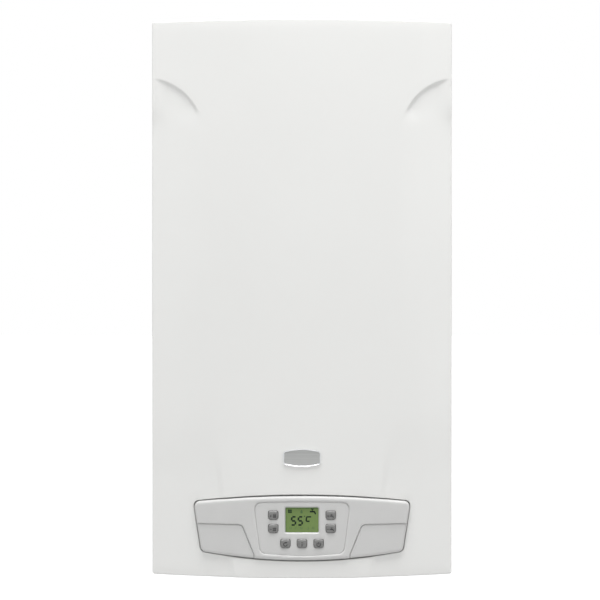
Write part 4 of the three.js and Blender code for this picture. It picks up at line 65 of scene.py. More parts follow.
# Cover
COVER_SHEET = 1.5
COVER_ROLL = 2.4
COVER_TAPER = 2.0
COVER_CORNER = 1.0  # of the outline inside the roll
COVER_FOOT = 20.0
RECESS = 2.5
BROW_H = 593.0
BROW_FADE = 24.0
BROW_EXTRA = 0.5
BROW_WIDTH = 4.8
BROW_TIP = 22.0
CREASE_WIDTH = 34.0
CREASE_TAIL = 0.28
CREASE_SHALLOW = 0.55
DEEP_H = 410.0
DEEP_FADE = 190.0
LOW_CREASE_H = 215.0
LOW_CREASE_FADE = 90.0
LOW_CREASE_WIDTH = 9.0
TONGUE_FOOT = (88.0, -2.0)
TONGUE_BEND = (127.5, 250.0)
TONGUE_TOP = (135.0, 605.0)
BROW_BEND = (151.0, 646.0)
BROW_EDGE = (201.0, 656.0)

# Control panel moulding
FASCIA_TOP_HALF = 141.0
FASCIA_BOTTOM_HALF = 133.0
FASCIA_CROWN = 107.6
FASCIA_SHOULDER = 99.2
FASCIA_FOOT = 33.0
FASCIA_BOTTOM = 24.5
FASCIA_CORNER = 8.0
FASCIA_PROUD = 4.0
FASCIA_ROLL = 4.2
FASCIA_DROP = 3.2
FASCIA_WALL = 2.4
FASCIA_FLANGE = 5.0
FLANGE_DEPTH = 7.0
FLANGE_THICK = 2.0
FASCIA_REAR = -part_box("fascia")[1].y / MM
OPENING_GROW = 1.1
OPENING_SPREAD = 0.9
OPENING_ROLL = 0.8
OPENING_LIP = 2.4
WING_TOP = 71.0
WING_INNER = 80.0
WING_FOOT = 57.0
WING_SINK = 1.3
WING_GROOVE = 1.9
GROOVE_PLACE = 0.6
GROOVE_WIDTH = 0.55
WING_EDGE = 1.3
WING_COVE = 4.5
WING_SHARE = 0.75
KEY_TOP_HALF = 61.5
KEY_FOOT_HALF = 55.5
KEY_TOP = 99.6
KEY_CROWN = 100.6
KEY_FOOT = 32.5
KEY_BOTTOM = 30.5
KEY_CORNER = 11.0
KEY_GAP = 0.15
KEY_SINK = 1.1
KEY_EDGE = 2.2
KEY_DROP = 1.3
KEY_ROLL = 0.4
KEY_RIM = 2.0
POCKET_DEPTH = 3.2
SHELF_DEPTH = 2.4
SHELF_THICK = 1.0
LCD_HALF = 21.6
LCD_BOTTOM = 60.6
LCD_TOP = 93.0
LCD_CORNER = 2.0
LCD_GAP = 0.3
LCD_BEZEL = 1.8
LCD_SINK = 1.9
BUTTON_WIDTH = 13.0
BUTTON_HEIGHT = 11.4
BUTTON_PROUD = 1.6
BUTTON_GAP = 0.3
BUTTON_ROLL = 0.9
BUTTON_BROW = 1.3
BUTTON_DROP = 1.5
BUTTON_FOOT_CORNER = 4.0
BUTTON_TOP_CORNER = 2.5
BUTTON_CROWN = 0.5
BUTTON_DEEP = 6.0
HOLE_ROLL = 0.3
HOLE_DEEP = 2.2
COLUMN_X = 37.4
UPPER_H = 83.0
LOWER_H = 65.7
ROW_H = 46.3
ROW_PITCH = 21.6

# Badge
BADGE_H = 157.4
BADGE_WIDTH = 48.6
BADGE_SIDE = 18.2
BADGE_HEIGHT = 23.2
BADGE_CORNER = 4.2
BADGE_THICK = 1.5
BADGE_LIP = 1.3
BADGE_SINK = 1.0
BADGE_DISH = 0.5

BUTTONS = {
    "button_heating_up": (-COLUMN_X, UPPER_H),
    "button_heating_down": (-COLUMN_X, LOWER_H),
    "button_water_up": (COLUMN_X, UPPER_H),
    "button_water_down": (COLUMN_X, LOWER_H),
    "button_reset": (-ROW_PITCH, ROW_H),
    "button_info": (0.0, ROW_H),
    "button_standby": (ROW_PITCH, ROW_H),
}


def place(x, depth, h):
    """A point of a front view in the row frame, in metres."""
    return (x * MM, -depth * MM, FOOT + h * MM)


def front_depth(x, proud=0.0):
    """Depth of the bowed front at x."""
    return CORNER_DEPTH + BULGE * (1 - (x / HALF_WIDTH) ** 2) + proud


def smoothstep(value):
    share = np.clip(value, 0.0, 1.0)
    return share * share * (3 - 2 * share)


# ---------------------------------------------------------------- camera, light and floor

CAMERA_PLACE = (-0.0026, -2.360, -0.287)
CAMERA_LENS = 95.17
CAMERA_SHIFT = -0.0512
AMBIENT = 0.50
LAMPS = {
    "overhead": ((0.12, -0.95, 2.20), (2.4, 1.2), 80.0),
    "front_left": ((-2.6, -3.0, -0.20), (1.4, 1.8), 11.0),
    "front_right": ((2.6, -3.0, -0.20), (1.4, 1.8), 11.0),
}
FLOOR_Z = -1.65
FLOOR_SIZE = 60.0
LAMP_AIM = (0, -0.30, FOOT / 2)
FLOOR_COLOUR = (0.68, 0.68, 0.68, 1)
FLOOR_GLOW = (0.85, 0.85, 0.85, 1)
WHITE = (1, 1, 1, 1)


def add_object(name, data):
    made = bpy.data.objects.new(name, data)
    bpy.context.scene.collection.objects.link(made)
    return made


def add_camera():
    data = bpy.data.cameras.new("camera")
    data.lens = CAMERA_LENS
    data.shift_y = CAMERA_SHIFT
    camera = add_object("camera", data)
    camera.location = CAMERA_PLACE
    camera.rotation_euler = (math.pi / 2, 0, 0)
    bpy.context.scene.camera = camera


def add_lamps():
    for name, (location, size, power) in LAMPS.items():
        data = bpy.data.lights.new(name, "AREA")
        data.shape = "RECTANGLE"
        data.size, data.size_y = size
        data.energy = power
        light = add_object(name, data)
        light.location = location
        light.rotation_euler = (Vector(LAMP_AIM) - light.location).to_track_quat("-Z", "Y").to_euler()


def feed(node, inputs):
    """Sets inputs of a node, each to a value or to another node's output."""
    for key, value in inputs.items():
        if isinstance(value, bpy.types.NodeSocket):
            node.id_data.links.new(value, node.inputs[key])
        else:
            node.inputs[key].default_value = value
    return node


def add_node(tree, kind, inputs, **settings):
    node = tree.nodes.new(kind)
    for key, value in settings.items():
        setattr(node, key, value)
    return feed(node, inputs)


def seen_directly(tree):
    """1 for camera, glossy and transmission rays."""
    rays = add_node(tree, "ShaderNodeLightPath", {}).outputs
    seen = rays["Is Camera Ray"]
    for name in ("Is Glossy Ray", "Is Transmission Ray"):
        seen = add_node(tree, "ShaderNodeMath", {0: seen, 1: rays[name]}, operation="MAXIMUM").outputs[0]
    return seen


def set_world():
    world = bpy.data.worlds.new("world")
    world.use_nodes = True
    tree = world.node_tree
    tree.nodes.clear()
    ambient = add_node(tree, "ShaderNodeBackground", {"Color": WHITE, "Strength": AMBIENT})
    shown = add_node(tree, "ShaderNodeBackground", {"Color": WHITE, "Strength": 1.0})
    mix = add_node(tree, "ShaderNodeMixShader", {})
    feed(mix, {0: seen_directly(tree), 1: ambient.outputs[0], 2: shown.outputs[0]})
    add_node(tree, "ShaderNodeOutputWorld", {"Surface": mix.outputs[0]})
    bpy.context.scene.world = world


def add_floor():
    half = FLOOR_SIZE / 2
    mesh = bpy.data.meshes.new("floor")
    corners = [(x * half, y * half, FLOOR_Z) for x, y in ((-1, -1), (1, -1), (1, 1), (-1, 1))]
    mesh.from_pydata(corners, [], [(0, 1, 2, 3)])
    floor = add_object("floor", mesh)
    material = bpy.data.materials.new("floor")
    material.use_nodes = True
    tree = material.node_tree
    shader = feed(tree.nodes["Principled BSDF"], {"Base Color": FLOOR_COLOUR, "Roughness": 0.9})
    lift = add_node(tree, "ShaderNodeEmission", {"Color": FLOOR_GLOW})
    feed(lift, {"Strength": seen_directly(tree)})
    both = add_node(tree, "ShaderNodeAddShader", {0: shader.outputs[0], 1: lift.outputs[0]})
    feed(tree.nodes["Material Output"], {"Surface": both.outputs[0]})
    mesh.materials.append(material)


# ---------------------------------------------------------------- materials


TEXTURE_SPAN = (0.25, 0.75)  # where most of a texture's values lie


class Finish:
    """A procedural material built from textures in the object's own coordinates."""

    def __init__(self, name, colour, roughness, metallic):
        self.colour = colour
        self.roughness = roughness
        self.material = bpy.data.materials.new(name)
        self.material.use_nodes = True
        self.tree = self.material.node_tree
        self.shader = feed(self.tree.nodes["Principled BSDF"], {
            "Base Color": (*colour, 1), "Roughness": roughness, "Metallic": metallic, "Coat Weight": 0.0})
        self.place = self.node("ShaderNodeTexCoord", {}).outputs["Object"]

    def node(self, kind, inputs, **settings):
        return add_node(self.tree, kind, inputs, **settings)

    def stretched(self, stretch):
        return self.node("ShaderNodeMapping", {"Scale": stretch, "Vector": self.place}).outputs[0]

    def noise(self, scale, detail=2.0, stretch=(1, 1, 1)):
        texture = self.node("ShaderNodeTexNoise", {"Scale": scale, "Detail": detail})
        return feed(texture, {"Vector": self.stretched(stretch)}).outputs["Fac"]

    def cells(self, scale, output="Distance"):
        return self.node("ShaderNodeTexVoronoi", {"Scale": scale, "Vector": self.place}).outputs[output]

    def waves(self, scale):
        texture = self.node("ShaderNodeTexWave", {"Scale": scale}, bands_direction="DIAGONAL")
        return feed(texture, {"Vector": self.stretched((1, 1, 1))}).outputs["Fac"]

    def texture(self, settings):
        """Noise, or the texture that is named in front of its settings."""
        kind, *rest = settings if isinstance(settings, tuple) else (settings,)
        return getattr(self, kind)(*rest) if isinstance(kind, str) else self.noise(kind, *rest)

    def mapped(self, factor, low, high):
        first, last = TEXTURE_SPAN
        return self.node("ShaderNodeMapRange", {
            "From Min": first, "From Max": last, "To Min": low, "To Max": high, "Value": factor}).outputs[0]

    def tint(self, texture, spread, other=None):
        """Colour that swings by the spread, or towards another colour."""
        factor = self.texture(texture)
        dark = other or tuple(c * (1 - spread) for c in self.colour)
        light = tuple(min(1.0, c * (1 + spread)) for c in self.colour)
        mix = self.node("ShaderNodeMix", {"A": (*dark, 1), "B": (*light, 1)}, data_type="RGBA")
        feed(mix, {"Factor": self.mapped(factor, 0.0, 1.0)})
        feed(self.shader, {"Base Color": mix.outputs["Result"]})

    def wear(self, texture, spread):
        """Roughness that swings by the spread."""
        factor = self.texture(texture)
        low, high = self.roughness - spread, self.roughness + spread
        feed(self.shader, {"Roughness": self.mapped(factor, low, high)})

    def bump(self, texture, strength, distance):
        factor = self.texture(texture)
        node = self.node("ShaderNodeBump", {"Strength": strength, "Distance": distance, "Height": factor})
        feed(self.shader, {"Normal": node.outputs[0]})


BRUSHED = (0.2, 1, 14)

# Colour, roughness and metallic; then tint, wear and bump, each a texture and its amounts. A texture is
# the scale of a noise, or a tuple of its settings.
LOOKS = {
    "white_paint": ((0.86, 0.862, 0.845), 0.42, 0, ((7, 3), 0.008), (120, 0.04), (900, 0.04, 0.0002)),
    "galvanised": ((0.60, 0.62, 0.63), 0.42, 0.85, (("cells", 70, "Color"), 0.10), ((45, 3), 0.10),
                   (("cells", 70), 0.05, 0.0004)),
    "steel": ((0.58, 0.59, 0.60), 0.32, 0.95, ((60, 3, BRUSHED), 0.07), ((90, 3, BRUSHED), 0.09),
              ((160, 3, BRUSHED), 0.05, 0.0002)),
    "badge_metal": ((0.37, 0.375, 0.37), 0.38, 0.6, ((70, 3, (0.1, 1, 12)), 0.08), (90, 0.07),
                    ((200, 3, (0.1, 1, 14)), 0.05, 0.0001)),
    "aluminium": ((0.66, 0.67, 0.68), 0.46, 0.9, ((60, 4), 0.07), (140, 0.08), ((1100, 3), 0.18, 0.0003)),
    "copper": ((0.78, 0.42, 0.27), 0.30, 0.95, ((26, 4), 0.0, (0.52, 0.26, 0.16)), (60, 0.10),
               (400, 0.04, 0.0002)),
    "brass": ((0.74, 0.58, 0.30), 0.36, 0.92, ((34, 4), 0.0, (0.56, 0.41, 0.19)), (90, 0.10),
              ((800, 3), 0.12, 0.0003)),
    "grey_moulding": ((0.64, 0.64, 0.632), 0.46, 0, ((40, 3), 0.015), (300, 0.05), ((2600, 3), 0.10, 0.0002)),
    "grey_button": ((0.20, 0.20, 0.196), 0.27, 0, ((150, 3), 0.04), (400, 0.05), (3000, 0.08, 0.0001)),
    "green_display": ((0.150, 0.240, 0.056), 0.20, 0, ((40, 2), 0.05), (60, 0.04), (300, 0.01, 0.0001)),
    "display_ink": ((0.012, 0.022, 0.012), 0.7, 0, (400, 0.15), (200, 0.05), None),
    # Dark green of the window's unlit segments and icon block, and also of the painted shade strips along the
    # window's top and left edges.
    "display_unlit_and_painted_shade": ((0.050, 0.115, 0.020), 0.45, 0, (300, 0.10), (200, 0.05), None),
    "print_grey": ((0.015, 0.015, 0.015), 0.6, 0, (500, 0.12), (300, 0.06), None),
    "black_plastic": ((0.030, 0.031, 0.034), 0.48, 0, ((70, 3), 0.15), (200, 0.07),
                      ((2200, 3), 0.15, 0.0002)),
    "knob_red": ((0.52, 0.025, 0.015), 0.42, 0, ((90, 3), 0.08), (200, 0.06), (2000, 0.1, 0.0002)),
    "knob_black": ((0.028, 0.028, 0.030), 0.46, 0, ((90, 3), 0.15), (200, 0.06), (2000, 0.12, 0.0002)),
    "circuit_green": ((0.03, 0.16, 0.065), 0.34, 0, (("cells", 260), 0.0, (0.05, 0.24, 0.10)), (200, 0.06),
                      (("cells", 420), 0.1, 0.0002)),
    "clear_glass": ((0.93, 0.97, 0.97), 0.06, 0, None, (50, 0.03), None),
    "ceramic_white": ((0.76, 0.72, 0.64), 0.75, 0, ((120, 5), 0.08), (90, 0.08), ((900, 4), 0.3, 0.0004)),
    "turbine_plastic": ((0.78, 0.78, 0.75), 0.45, 0, (90, 0.03), (200, 0.05), (1800, 0.08, 0.0002)),
    "vessel_red": ((0.40, 0.028, 0.018), 0.34, 0, ((12, 3), 0.08), (60, 0.07), (500, 0.08, 0.0003)),
    "pump_paint": ((0.050, 0.075, 0.065), 0.45, 0.1, ((60, 4), 0.15), (120, 0.08), ((700, 4), 0.3, 0.0005)),
    "silicone": ((0.66, 0.62, 0.53), 0.62, 0, (90, 0.05), (120, 0.06), (1300, 0.1, 0.0002)),
    "hose_braid": ((0.36, 0.37, 0.38), 0.42, 0.6, (("waves", 420), 0.25), (200, 0.08),
                   (("waves", 420), 0.5, 0.0004)),
}
MORE_LOOKS = {
    "white_paint": {"Coat Weight": 0.15},
    "vessel_red": {"Coat Weight": 0.2},
    "display_ink": {"Specular IOR Level": 0.15},
    "clear_glass": {"Transmission Weight": 0.92},
}


def make_finish(name):
    *base, tint, wear, bump = LOOKS[name]
    made = Finish(name, *base)
    feed(made.shader, MORE_LOOKS.get(name, {}))
    for apply, settings in ((made.tint, tint), (made.wear, wear), (made.bump, bump)):
        if settings:
            apply(*settings)
    return made.material


# ---------------------------------------------------------------- mesh helpers


def trace(start, parts, step=6.0):
    """Closed outline: each part is a point to reach, or a bend and the point it curves to."""
    points = [start]
    for part in parts:
        last = np.array(points[-1], float)
        if isinstance(part[0], tuple):
            bend, end = np.array(part[0], float), np.array(part[1], float)
            count = max(6, int(np.linalg.norm(end - last) / step))
            shares = [(i + 1) / count for i in range(count)]
            points += [tuple((1 - t) ** 2 * last + 2 * t * (1 - t) * bend + t * t * end) for t in shares]
        else:
            end = np.array(part, float)
            count = max(1, int(np.linalg.norm(end - last) / step))
            points += [tuple(last + (end - last) * (i + 1) / count) for i in range(count)]
    if np.linalg.norm(np.array(points[0]) - np.array(points[-1])) < 1e-6:
        points.pop()
    return points


def rounded_box(x0, x1, h0, h1, r, step=6.0, top=None):
    """A rectangle with round corners; the upper ones may have a radius of their own."""
    t = r if top is None else top
    return trace((x0 + r, h0), [
        (x1 - r, h0), ((x1, h0), (x1, h0 + r)), (x1, h1 - t), ((x1, h1), (x1 - t, h1)),
        (x0 + t, h1), ((x0, h1), (x0, h1 - t)), (x0, h0 + r), ((x0, h0), (x0 + r, h0)),
    ], step)


def shield(foot, top, low, bottom, shoulder, crown, r, step):
    """A panel by its half widths and the corner and middle heights of its bowed edges."""
    return trace((-foot + r, low), [
        ((0, 2 * bottom - low), (foot - r, low)), ((foot, low), (foot, low + r)), (top, shoulder - r),
        ((top, shoulder), (top - r, shoulder)), ((0, 2 * crown - shoulder), (-top + r, shoulder)),
        ((-top, shoulder), (-top, shoulder - r)), (-foot, low + r), ((-foot, low), (-foot + r, low)),
    ], step)


def loop_normals(loop):
    """Outward normals of an outline that runs anticlockwise."""
    points = np.array(loop, float)
    along = np.roll(points, -1, 0) - np.roll(points, 1, 0)
    along /= np.maximum(np.linalg.norm(along, axis=1), 1e-9)[:, None]
    return np.stack([along[:, 1], -along[:, 0]], 1)


def grown(loop, amount):
    """The outline moved outwards; the amount may differ from point to point."""
    reach = np.broadcast_to(np.asarray(amount, float), (len(loop),))
    return [tuple(p) for p in np.array(loop, float) + loop_normals(loop) * reach[:, None]]


def inside(points, loop):
    """Which of the points lie inside the outline."""
    x, h = np.array(points, float).T
    hits = np.zeros(len(x), bool)
    for (x0, h0), (x1, h1) in zip(loop, loop[1:] + loop[:1]):
        crosses = (h0 > h) != (h1 > h)
        if h0 != h1:
            hits ^= crosses & (x < (x1 - x0) * (h - h0) / (h1 - h0) + x0)
    return hits


def distance_to(points, line):
    """Distance from each point to an open line."""
    p = np.array(points, float)
    best = np.full(len(p), np.inf)
    for a, b in zip(line, line[1:]):
        a, b = np.array(a, float), np.array(b, float)
        share = np.clip(((p - a) @ (b - a)) / max((b - a) @ (b - a), 1e-12), 0, 1)
        best = np.minimum(best, np.linalg.norm(p - (a + share[:, None] * (b - a)), axis=1))
    return best


def grid(x0, x1, h0, h1, dx, dh):
    xs = np.linspace(x0, x1, max(2, int(round((x1 - x0) / dx)) + 1))
    hs = np.linspace(h0, h1, max(2, int(round((h1 - h0) / dh)) + 1))
    return [(x, h) for x in xs for h in hs]


def add_piece(name, verts, faces, finish, body, slot=None, replaces=(), sharp=40.0, closed=False):
    mesh = bpy.data.meshes.new(name)
    mesh.from_pydata([tuple(v) for v in verts], [], faces)
    mesh.validate()
    if closed:
        form = bmesh.new()
        form.from_mesh(mesh)
        bmesh.ops.recalc_face_normals(form, faces=form.faces)
        form.to_mesh(mesh)
        form.free()
    mesh.shade_smooth()
    mesh.set_sharp_from_angle(angle=math.radians(sharp))
    mesh.materials.append(FINISHES[finish])
    piece = add_object(name, mesh)
    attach(piece, body)
    if replaces:
        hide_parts(*replaces)
    return piece


def modify(piece, name, kind, **settings):
    modifier = piece.modifiers.new(name, kind)
    for key, value in settings.items():
        setattr(modifier, key, value)
    return piece


def thicken(piece, thickness):
    return modify(piece, "thickness", "SOLIDIFY", thickness=thickness * MM, offset=-1.0, use_even_offset=True)


def break_edges(piece, width, clamp=False):
    return modify(piece, "edges", "BEVEL", width=width * MM, segments=2, limit_method="ANGLE",
                  angle_limit=math.radians(32), use_clamp_overlap=clamp, harden_normals=True)


def bent_path(corners, bend, step):
    """Points along straight runs whose corners are rounded by the bend."""
    corners = [np.array(c, float) for c in corners]
    points = [corners[0]]
    for before, corner, after in zip(corners, corners[1:], corners[2:]):
        back, ahead = before - corner, after - corner
        start = corner + back * min(bend, np.linalg.norm(back) / 2) / np.linalg.norm(back)
        end = corner + ahead * min(bend, np.linalg.norm(ahead) / 2) / np.linalg.norm(ahead)
        points.append(start)
        count = max(6, int(bend / step))
        for share in np.linspace(0, 1, count + 1)[1:]:
            points.append((1 - share) ** 2 * start + 2 * share * (1 - share) * corner + share ** 2 * end)
    points.append(corners[-1])
    return points


class Form:
    """Points and faces that make one piece, drawn in millimetres as (x, depth, h)."""

    closed = False

    def __init__(self):
        self.points = []
        self.faces = []

    def piece(self, name, finish, body, edges=0.0, **settings):
        verts = [place(*point) for point in self.points]
        made = add_piece(name, verts, self.faces, finish, body, closed=self.closed, **settings)
        return break_edges(made, edges) if edges else made

    def stand_in(self, name, node, finish=None, edges=0.0):
        """The piece in a node's place: on its body, in its slot and, unless one is named, in its finish."""
        slot = SLOTS[node]
        return self.piece(name, finish or slot, BODIES[node], edges, slot=slot, replaces=[node])


class Solid(Form):
    """Closed bodies that make one piece."""

    closed = True

    def loft(self, rings, looped=False):
        """Joins rings into a closed skin. A ring of one point is a tip."""
        spans = []
        for ring in rings:
            spans.append((len(self.points), len(ring)))
            self.points += [tuple(point) for point in ring]
        pairs = list(zip(spans, spans[1:] + spans[:1]))
        for (a, a_count), (b, b_count) in pairs if looped else pairs[:-1]:
            for i in range(max(a_count, b_count)):
                corners = (a + i % a_count, a + (i + 1) % a_count, b + (i + 1) % b_count, b + i % b_count)
                self.faces.append(tuple(dict.fromkeys(corners)))
        for start, count in () if looped else (spans[0], spans[-1]):
            if count > 1:
                self.faces.append(tuple(range(start, start + count)))
        return self

    def turn(self, axis, profile, a, b, sides=48, phase=0.0):
        """A lathe form from (radius, along) points. A profile that ends where it starts is a ring."""
        looped = profile[0] == profile[-1]
        rings = []
        for radius, along in profile[:-1] if looped else profile:
            turns = [math.radians(phase) + 2 * math.pi * i / sides for i in range(sides if radius > 0 else 1)]
            rings.append([across(axis, along, a + radius * math.cos(t), b + radius * math.sin(t))
                          for t in turns])
        return self.loft(rings, looped)

    def rod(self, axis, radius, a, b, start, end, edge=0.6, sides=48, phase=0.0):
        profile = [(0, start), (radius - edge, start), (radius, start + edge), (radius, end - edge),
                   (radius - edge, end), (0, end)]
        return self.turn(axis, profile, a, b, sides, phase)

    def nut(self, axis, radius, a, b, start, end):
        return self.rod(axis, radius, a, b, start, end, 0.09 * radius, 6, 30)

    def notched(self, axis, radius, a, b, levels, notches, bite=2.8, offset=1.4):
        """A grip with round notches; levels are (inset, along)."""
        count = 24 * notches
        rings = []
        for inset, along in levels:
            ring = []
            for i in range(count):
                turn = 2 * math.pi * i / count
                aside = (turn + math.pi / notches) % (2 * math.pi / notches) - math.pi / notches
                far = radius + offset
                reach = radius
                if abs(far * math.sin(aside)) < bite:
                    reach = far * math.cos(aside) - math.sqrt(bite ** 2 - (far * math.sin(aside)) ** 2)
                reach = min(radius, reach) - inset
                ring.append(across(axis, along, a + reach * math.cos(turn), b + reach * math.sin(turn)))
            rings.append(ring)
        return self.loft(rings)

    def box(self, x0, x1, d0, d1, h0, h1):
        return self.loft([[(x0, d0, h), (x1, d0, h), (x1, d1, h), (x0, d1, h)] for h in (h0, h1)])

    def bar(self, start, end, width, h0, h1):
        """A flat bar between two places seen from above."""
        a, b = np.array(start, float), np.array(end, float)
        u = (b - a) / np.linalg.norm(b - a) * width / 2
        corners = [a + (-u[1], u[0]), a - (-u[1], u[0]), b - (-u[1], u[0]), b + (-u[1], u[0])]
        return self.loft([[(x, d, h) for x, d in corners] for h in (h0, h1)])

    def tube(self, corners, radius, bend, sides=24, step=3.0):
        path = bent_path(corners, bend, step)
        along = np.gradient(np.array(path), axis=0)
        along /= np.linalg.norm(along, axis=1)[:, None]
        side = np.cross(along[0], (0.3, 0.5, 0.8))
        rings = []
        for point, forward in zip(path, along):
            side = side - forward * (side @ forward)
            side /= np.linalg.norm(side)
            up = np.cross(forward, side)
            turns = [2 * math.pi * i / sides for i in range(sides)]
            rings.append([point + radius * (math.cos(t) * side + math.sin(t) * up) for t in turns])
        return self.loft(rings)


def across(axis, along, a, b):
    """A point by its place along an axis and its two places across it."""
    if axis == "x":
        return (along, a, b)
    if axis == "depth":
        return (a, along, b)
    return (a, b, along)


def node_box(name):
    """Lowest and highest (x, depth, h) of a node, in millimetres."""
    low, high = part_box(name)
    return ((low.x / MM, -high.y / MM, (low.z - FOOT) / MM), (high.x / MM, -low.y / MM, (high.z - FOOT) / MM))


class Skin(Form):
    """A front surface with rolled edges. Depths come from a function of x and h."""

    def __init__(self, outline, surface, holes=(), lines=(), spread=(10.0, 15.0), clear=1.5):
        self.surface = surface
        self.outline = outline
        self.holes = list(holes)
        loops = [outline, *self.holes]
        points = [p for loop in loops for p in loop]
        edges, self.rings, at = [], [], 0
        for loop in loops:
            ring = list(range(at, at + len(loop)))
            edges += list(zip(ring, ring[1:] + ring[:1]))
            self.rings.append(ring)
            at += len(loop)
        kept = []
        for line in lines:
            flags = self.is_free(line, clear)
            for i, free in enumerate(flags):
                if free:
                    points.append(line[i])
                    if i and flags[i - 1]:
                        edges.append((len(points) - 2, len(points) - 1))
            kept += [p for p, free in zip(line, flags) if free]
        low, high = np.min(outline, 0), np.max(outline, 0)
        scatter = grid(low[0], high[0], low[1], high[1], *spread)
        far = self.is_free(scatter, 0.35 * min(spread))
        if kept:
            far &= np.min([distance_to(scatter, line) for line in lines], 0) > 0.35 * min(spread)
        points += [p for p, free in zip(scatter, far) if free]
        made = delaunay_2d_cdt([Vector(p) for p in points], edges, [], 0, 1e-6)
        flat, triangles, sources = [tuple(v) for v in made[0]], made[2], made[3]
        number = {source: i for i, found in enumerate(sources) for source in found}
        self.rings = [[number[i] for i in ring] for ring in self.rings]
        middles = [np.mean([flat[i] for i in t], 0) for t in triangles]
        wanted = inside(middles, outline)
        for hole in self.holes:
            wanted &= ~inside(middles, hole)
        self.faces = [tuple(t) for t, keep in zip(triangles, wanted) if keep]
        depths = surface(np.array(flat))
        self.points = [(x, d, h) for (x, h), d in zip(flat, depths)]

    def is_free(self, points, clear):
        free = inside(points, self.outline)
        free &= distance_to(points, [*self.outline, self.outline[0]]) > clear
        for hole in self.holes:
            free &= ~inside(points, hole)
            free &= distance_to(points, [*hole, hole[0]]) > clear
        return free

    def add_ring(self, previous, loop, depths, inwards):
        start = len(self.points)
        self.points += [(x, d, h) for (x, h), d in zip(loop, depths)]
        ring = list(range(start, start + len(loop)))
        for i in range(len(ring)):
            j = (i + 1) % len(ring)
            if inwards:
                self.faces.append((previous[i], previous[j], ring[j], ring[i]))
            else:
                self.faces.append((previous[i], ring[i], ring[j], previous[j]))
        return ring

    def roll(self, which, radius, rear, drop=None, steps=5, chamfer=0.0):
        """Rolls an edge over by the radius, then runs straight back to the rear depth."""
        loop = self.outline if which == 0 else self.holes[which - 1]
        sign = 1 if which == 0 else -1
        radius = np.broadcast_to(np.asarray(radius, float), (len(loop),))
        drop = radius if drop is None else np.broadcast_to(np.asarray(drop, float), (len(loop),))
        base = self.surface(np.array(loop))
        ring = self.rings[which]
        for i in range(1, steps + 1):
            turn = math.pi / 2 * i / steps
            out = (1 - chamfer) * math.sin(turn) + chamfer * i / steps
            down = (1 - chamfer) * (1 - math.cos(turn)) + chamfer * i / steps
            ring = self.add_ring(ring, grown(loop, sign * radius * out), base - drop * down, which > 0)
        rear = np.broadcast_to(np.asarray(rear, float), (len(loop),))
        self.add_ring(ring, grown(loop, sign * radius), rear, which > 0)
        return self


# ---------------------------------------------------------------- front cover


def bezier(start, bend, end, count):
    a, b, c = (np.array(p, float) for p in (start, bend, end))
    return [tuple((1 - t) ** 2 * a + 2 * t * (1 - t) * b + t * t * c) for t in np.linspace(0, 1, count)]


CREASE = bezier(TONGUE_FOOT, TONGUE_BEND, TONGUE_TOP, 110) + bezier(TONGUE_TOP, BROW_BEND, BROW_EDGE, 34)[1:]


def side_line(offset):
    """The crease on the right, moved towards the flank by the offset."""
    points = np.array(CREASE)
    along = np.gradient(points, axis=0)
    along /= np.linalg.norm(along, axis=1)[:, None]
    return points + offset * np.stack([along[:, 1], -along[:, 0]], 1)


def cover_surface(points):
    """Depth of the cover: its tongue stands proud, its flanks lie behind the crease."""
    x, h = points.T
    mirrored = np.stack([np.abs(x), h], 1)
    flank = inside(mirrored, CREASE + [(BROW_EDGE[0], TONGUE_FOOT[1])])
    away = distance_to(mirrored, CREASE) * np.where(flank, 1, -1)
    brow = smoothstep((h - BROW_H) / BROW_FADE)
    low = smoothstep((LOW_CREASE_H - h) / LOW_CREASE_FADE)
    width = CREASE_WIDTH + (BROW_WIDTH - CREASE_WIDTH) * brow + (LOW_CREASE_WIDTH - CREASE_WIDTH) * low
    tail = np.minimum(4 * width, CREASE_WIDTH)
    share = CREASE_TAIL * (1 - brow)
    step = (1 - share) * smoothstep((away + 0.3 * width) / width) + share * smoothstep(away / tail)
    deep = smoothstep((h - DEEP_H) / DEEP_FADE)
    tip = smoothstep((HALF_WIDTH - 3 - np.abs(x)) / BROW_TIP)
    recess = RECESS * (1 - CREASE_SHALLOW * (1 - deep) * (1 - low)) + BROW_EXTRA * brow
    return front_depth(x) - recess * step * (1 - brow * (1 - tip))


def fascia_outline(grow):
    return shield(FASCIA_BOTTOM_HALF + grow, FASCIA_TOP_HALF + grow, FASCIA_FOOT - grow, FASCIA_BOTTOM - grow,
                  FASCIA_SHOULDER + grow, FASCIA_CROWN + grow, FASCIA_CORNER + grow, 5.0)


def both_sides(line, offsets):
    """The line on the right at each offset, and its mirror image."""
    lines = []
    for offset in offsets:
        right = [tuple(point) for point in line(offset)]
        lines += [right, [(-x, h) for x, h in right]]
    return lines


COVER_LINES = (-10, -6, -4, -2.6, -1.4, -0.5, 0.4, 1.3, 2.2, 3.2, 4.6, 6.5, 9, 13, 19, 25)
WING_LINES = (-1.2, -0.4, -0.1, 0.2, 0.6, 1.0, 1.3, 1.8, 2.8, 4.6)


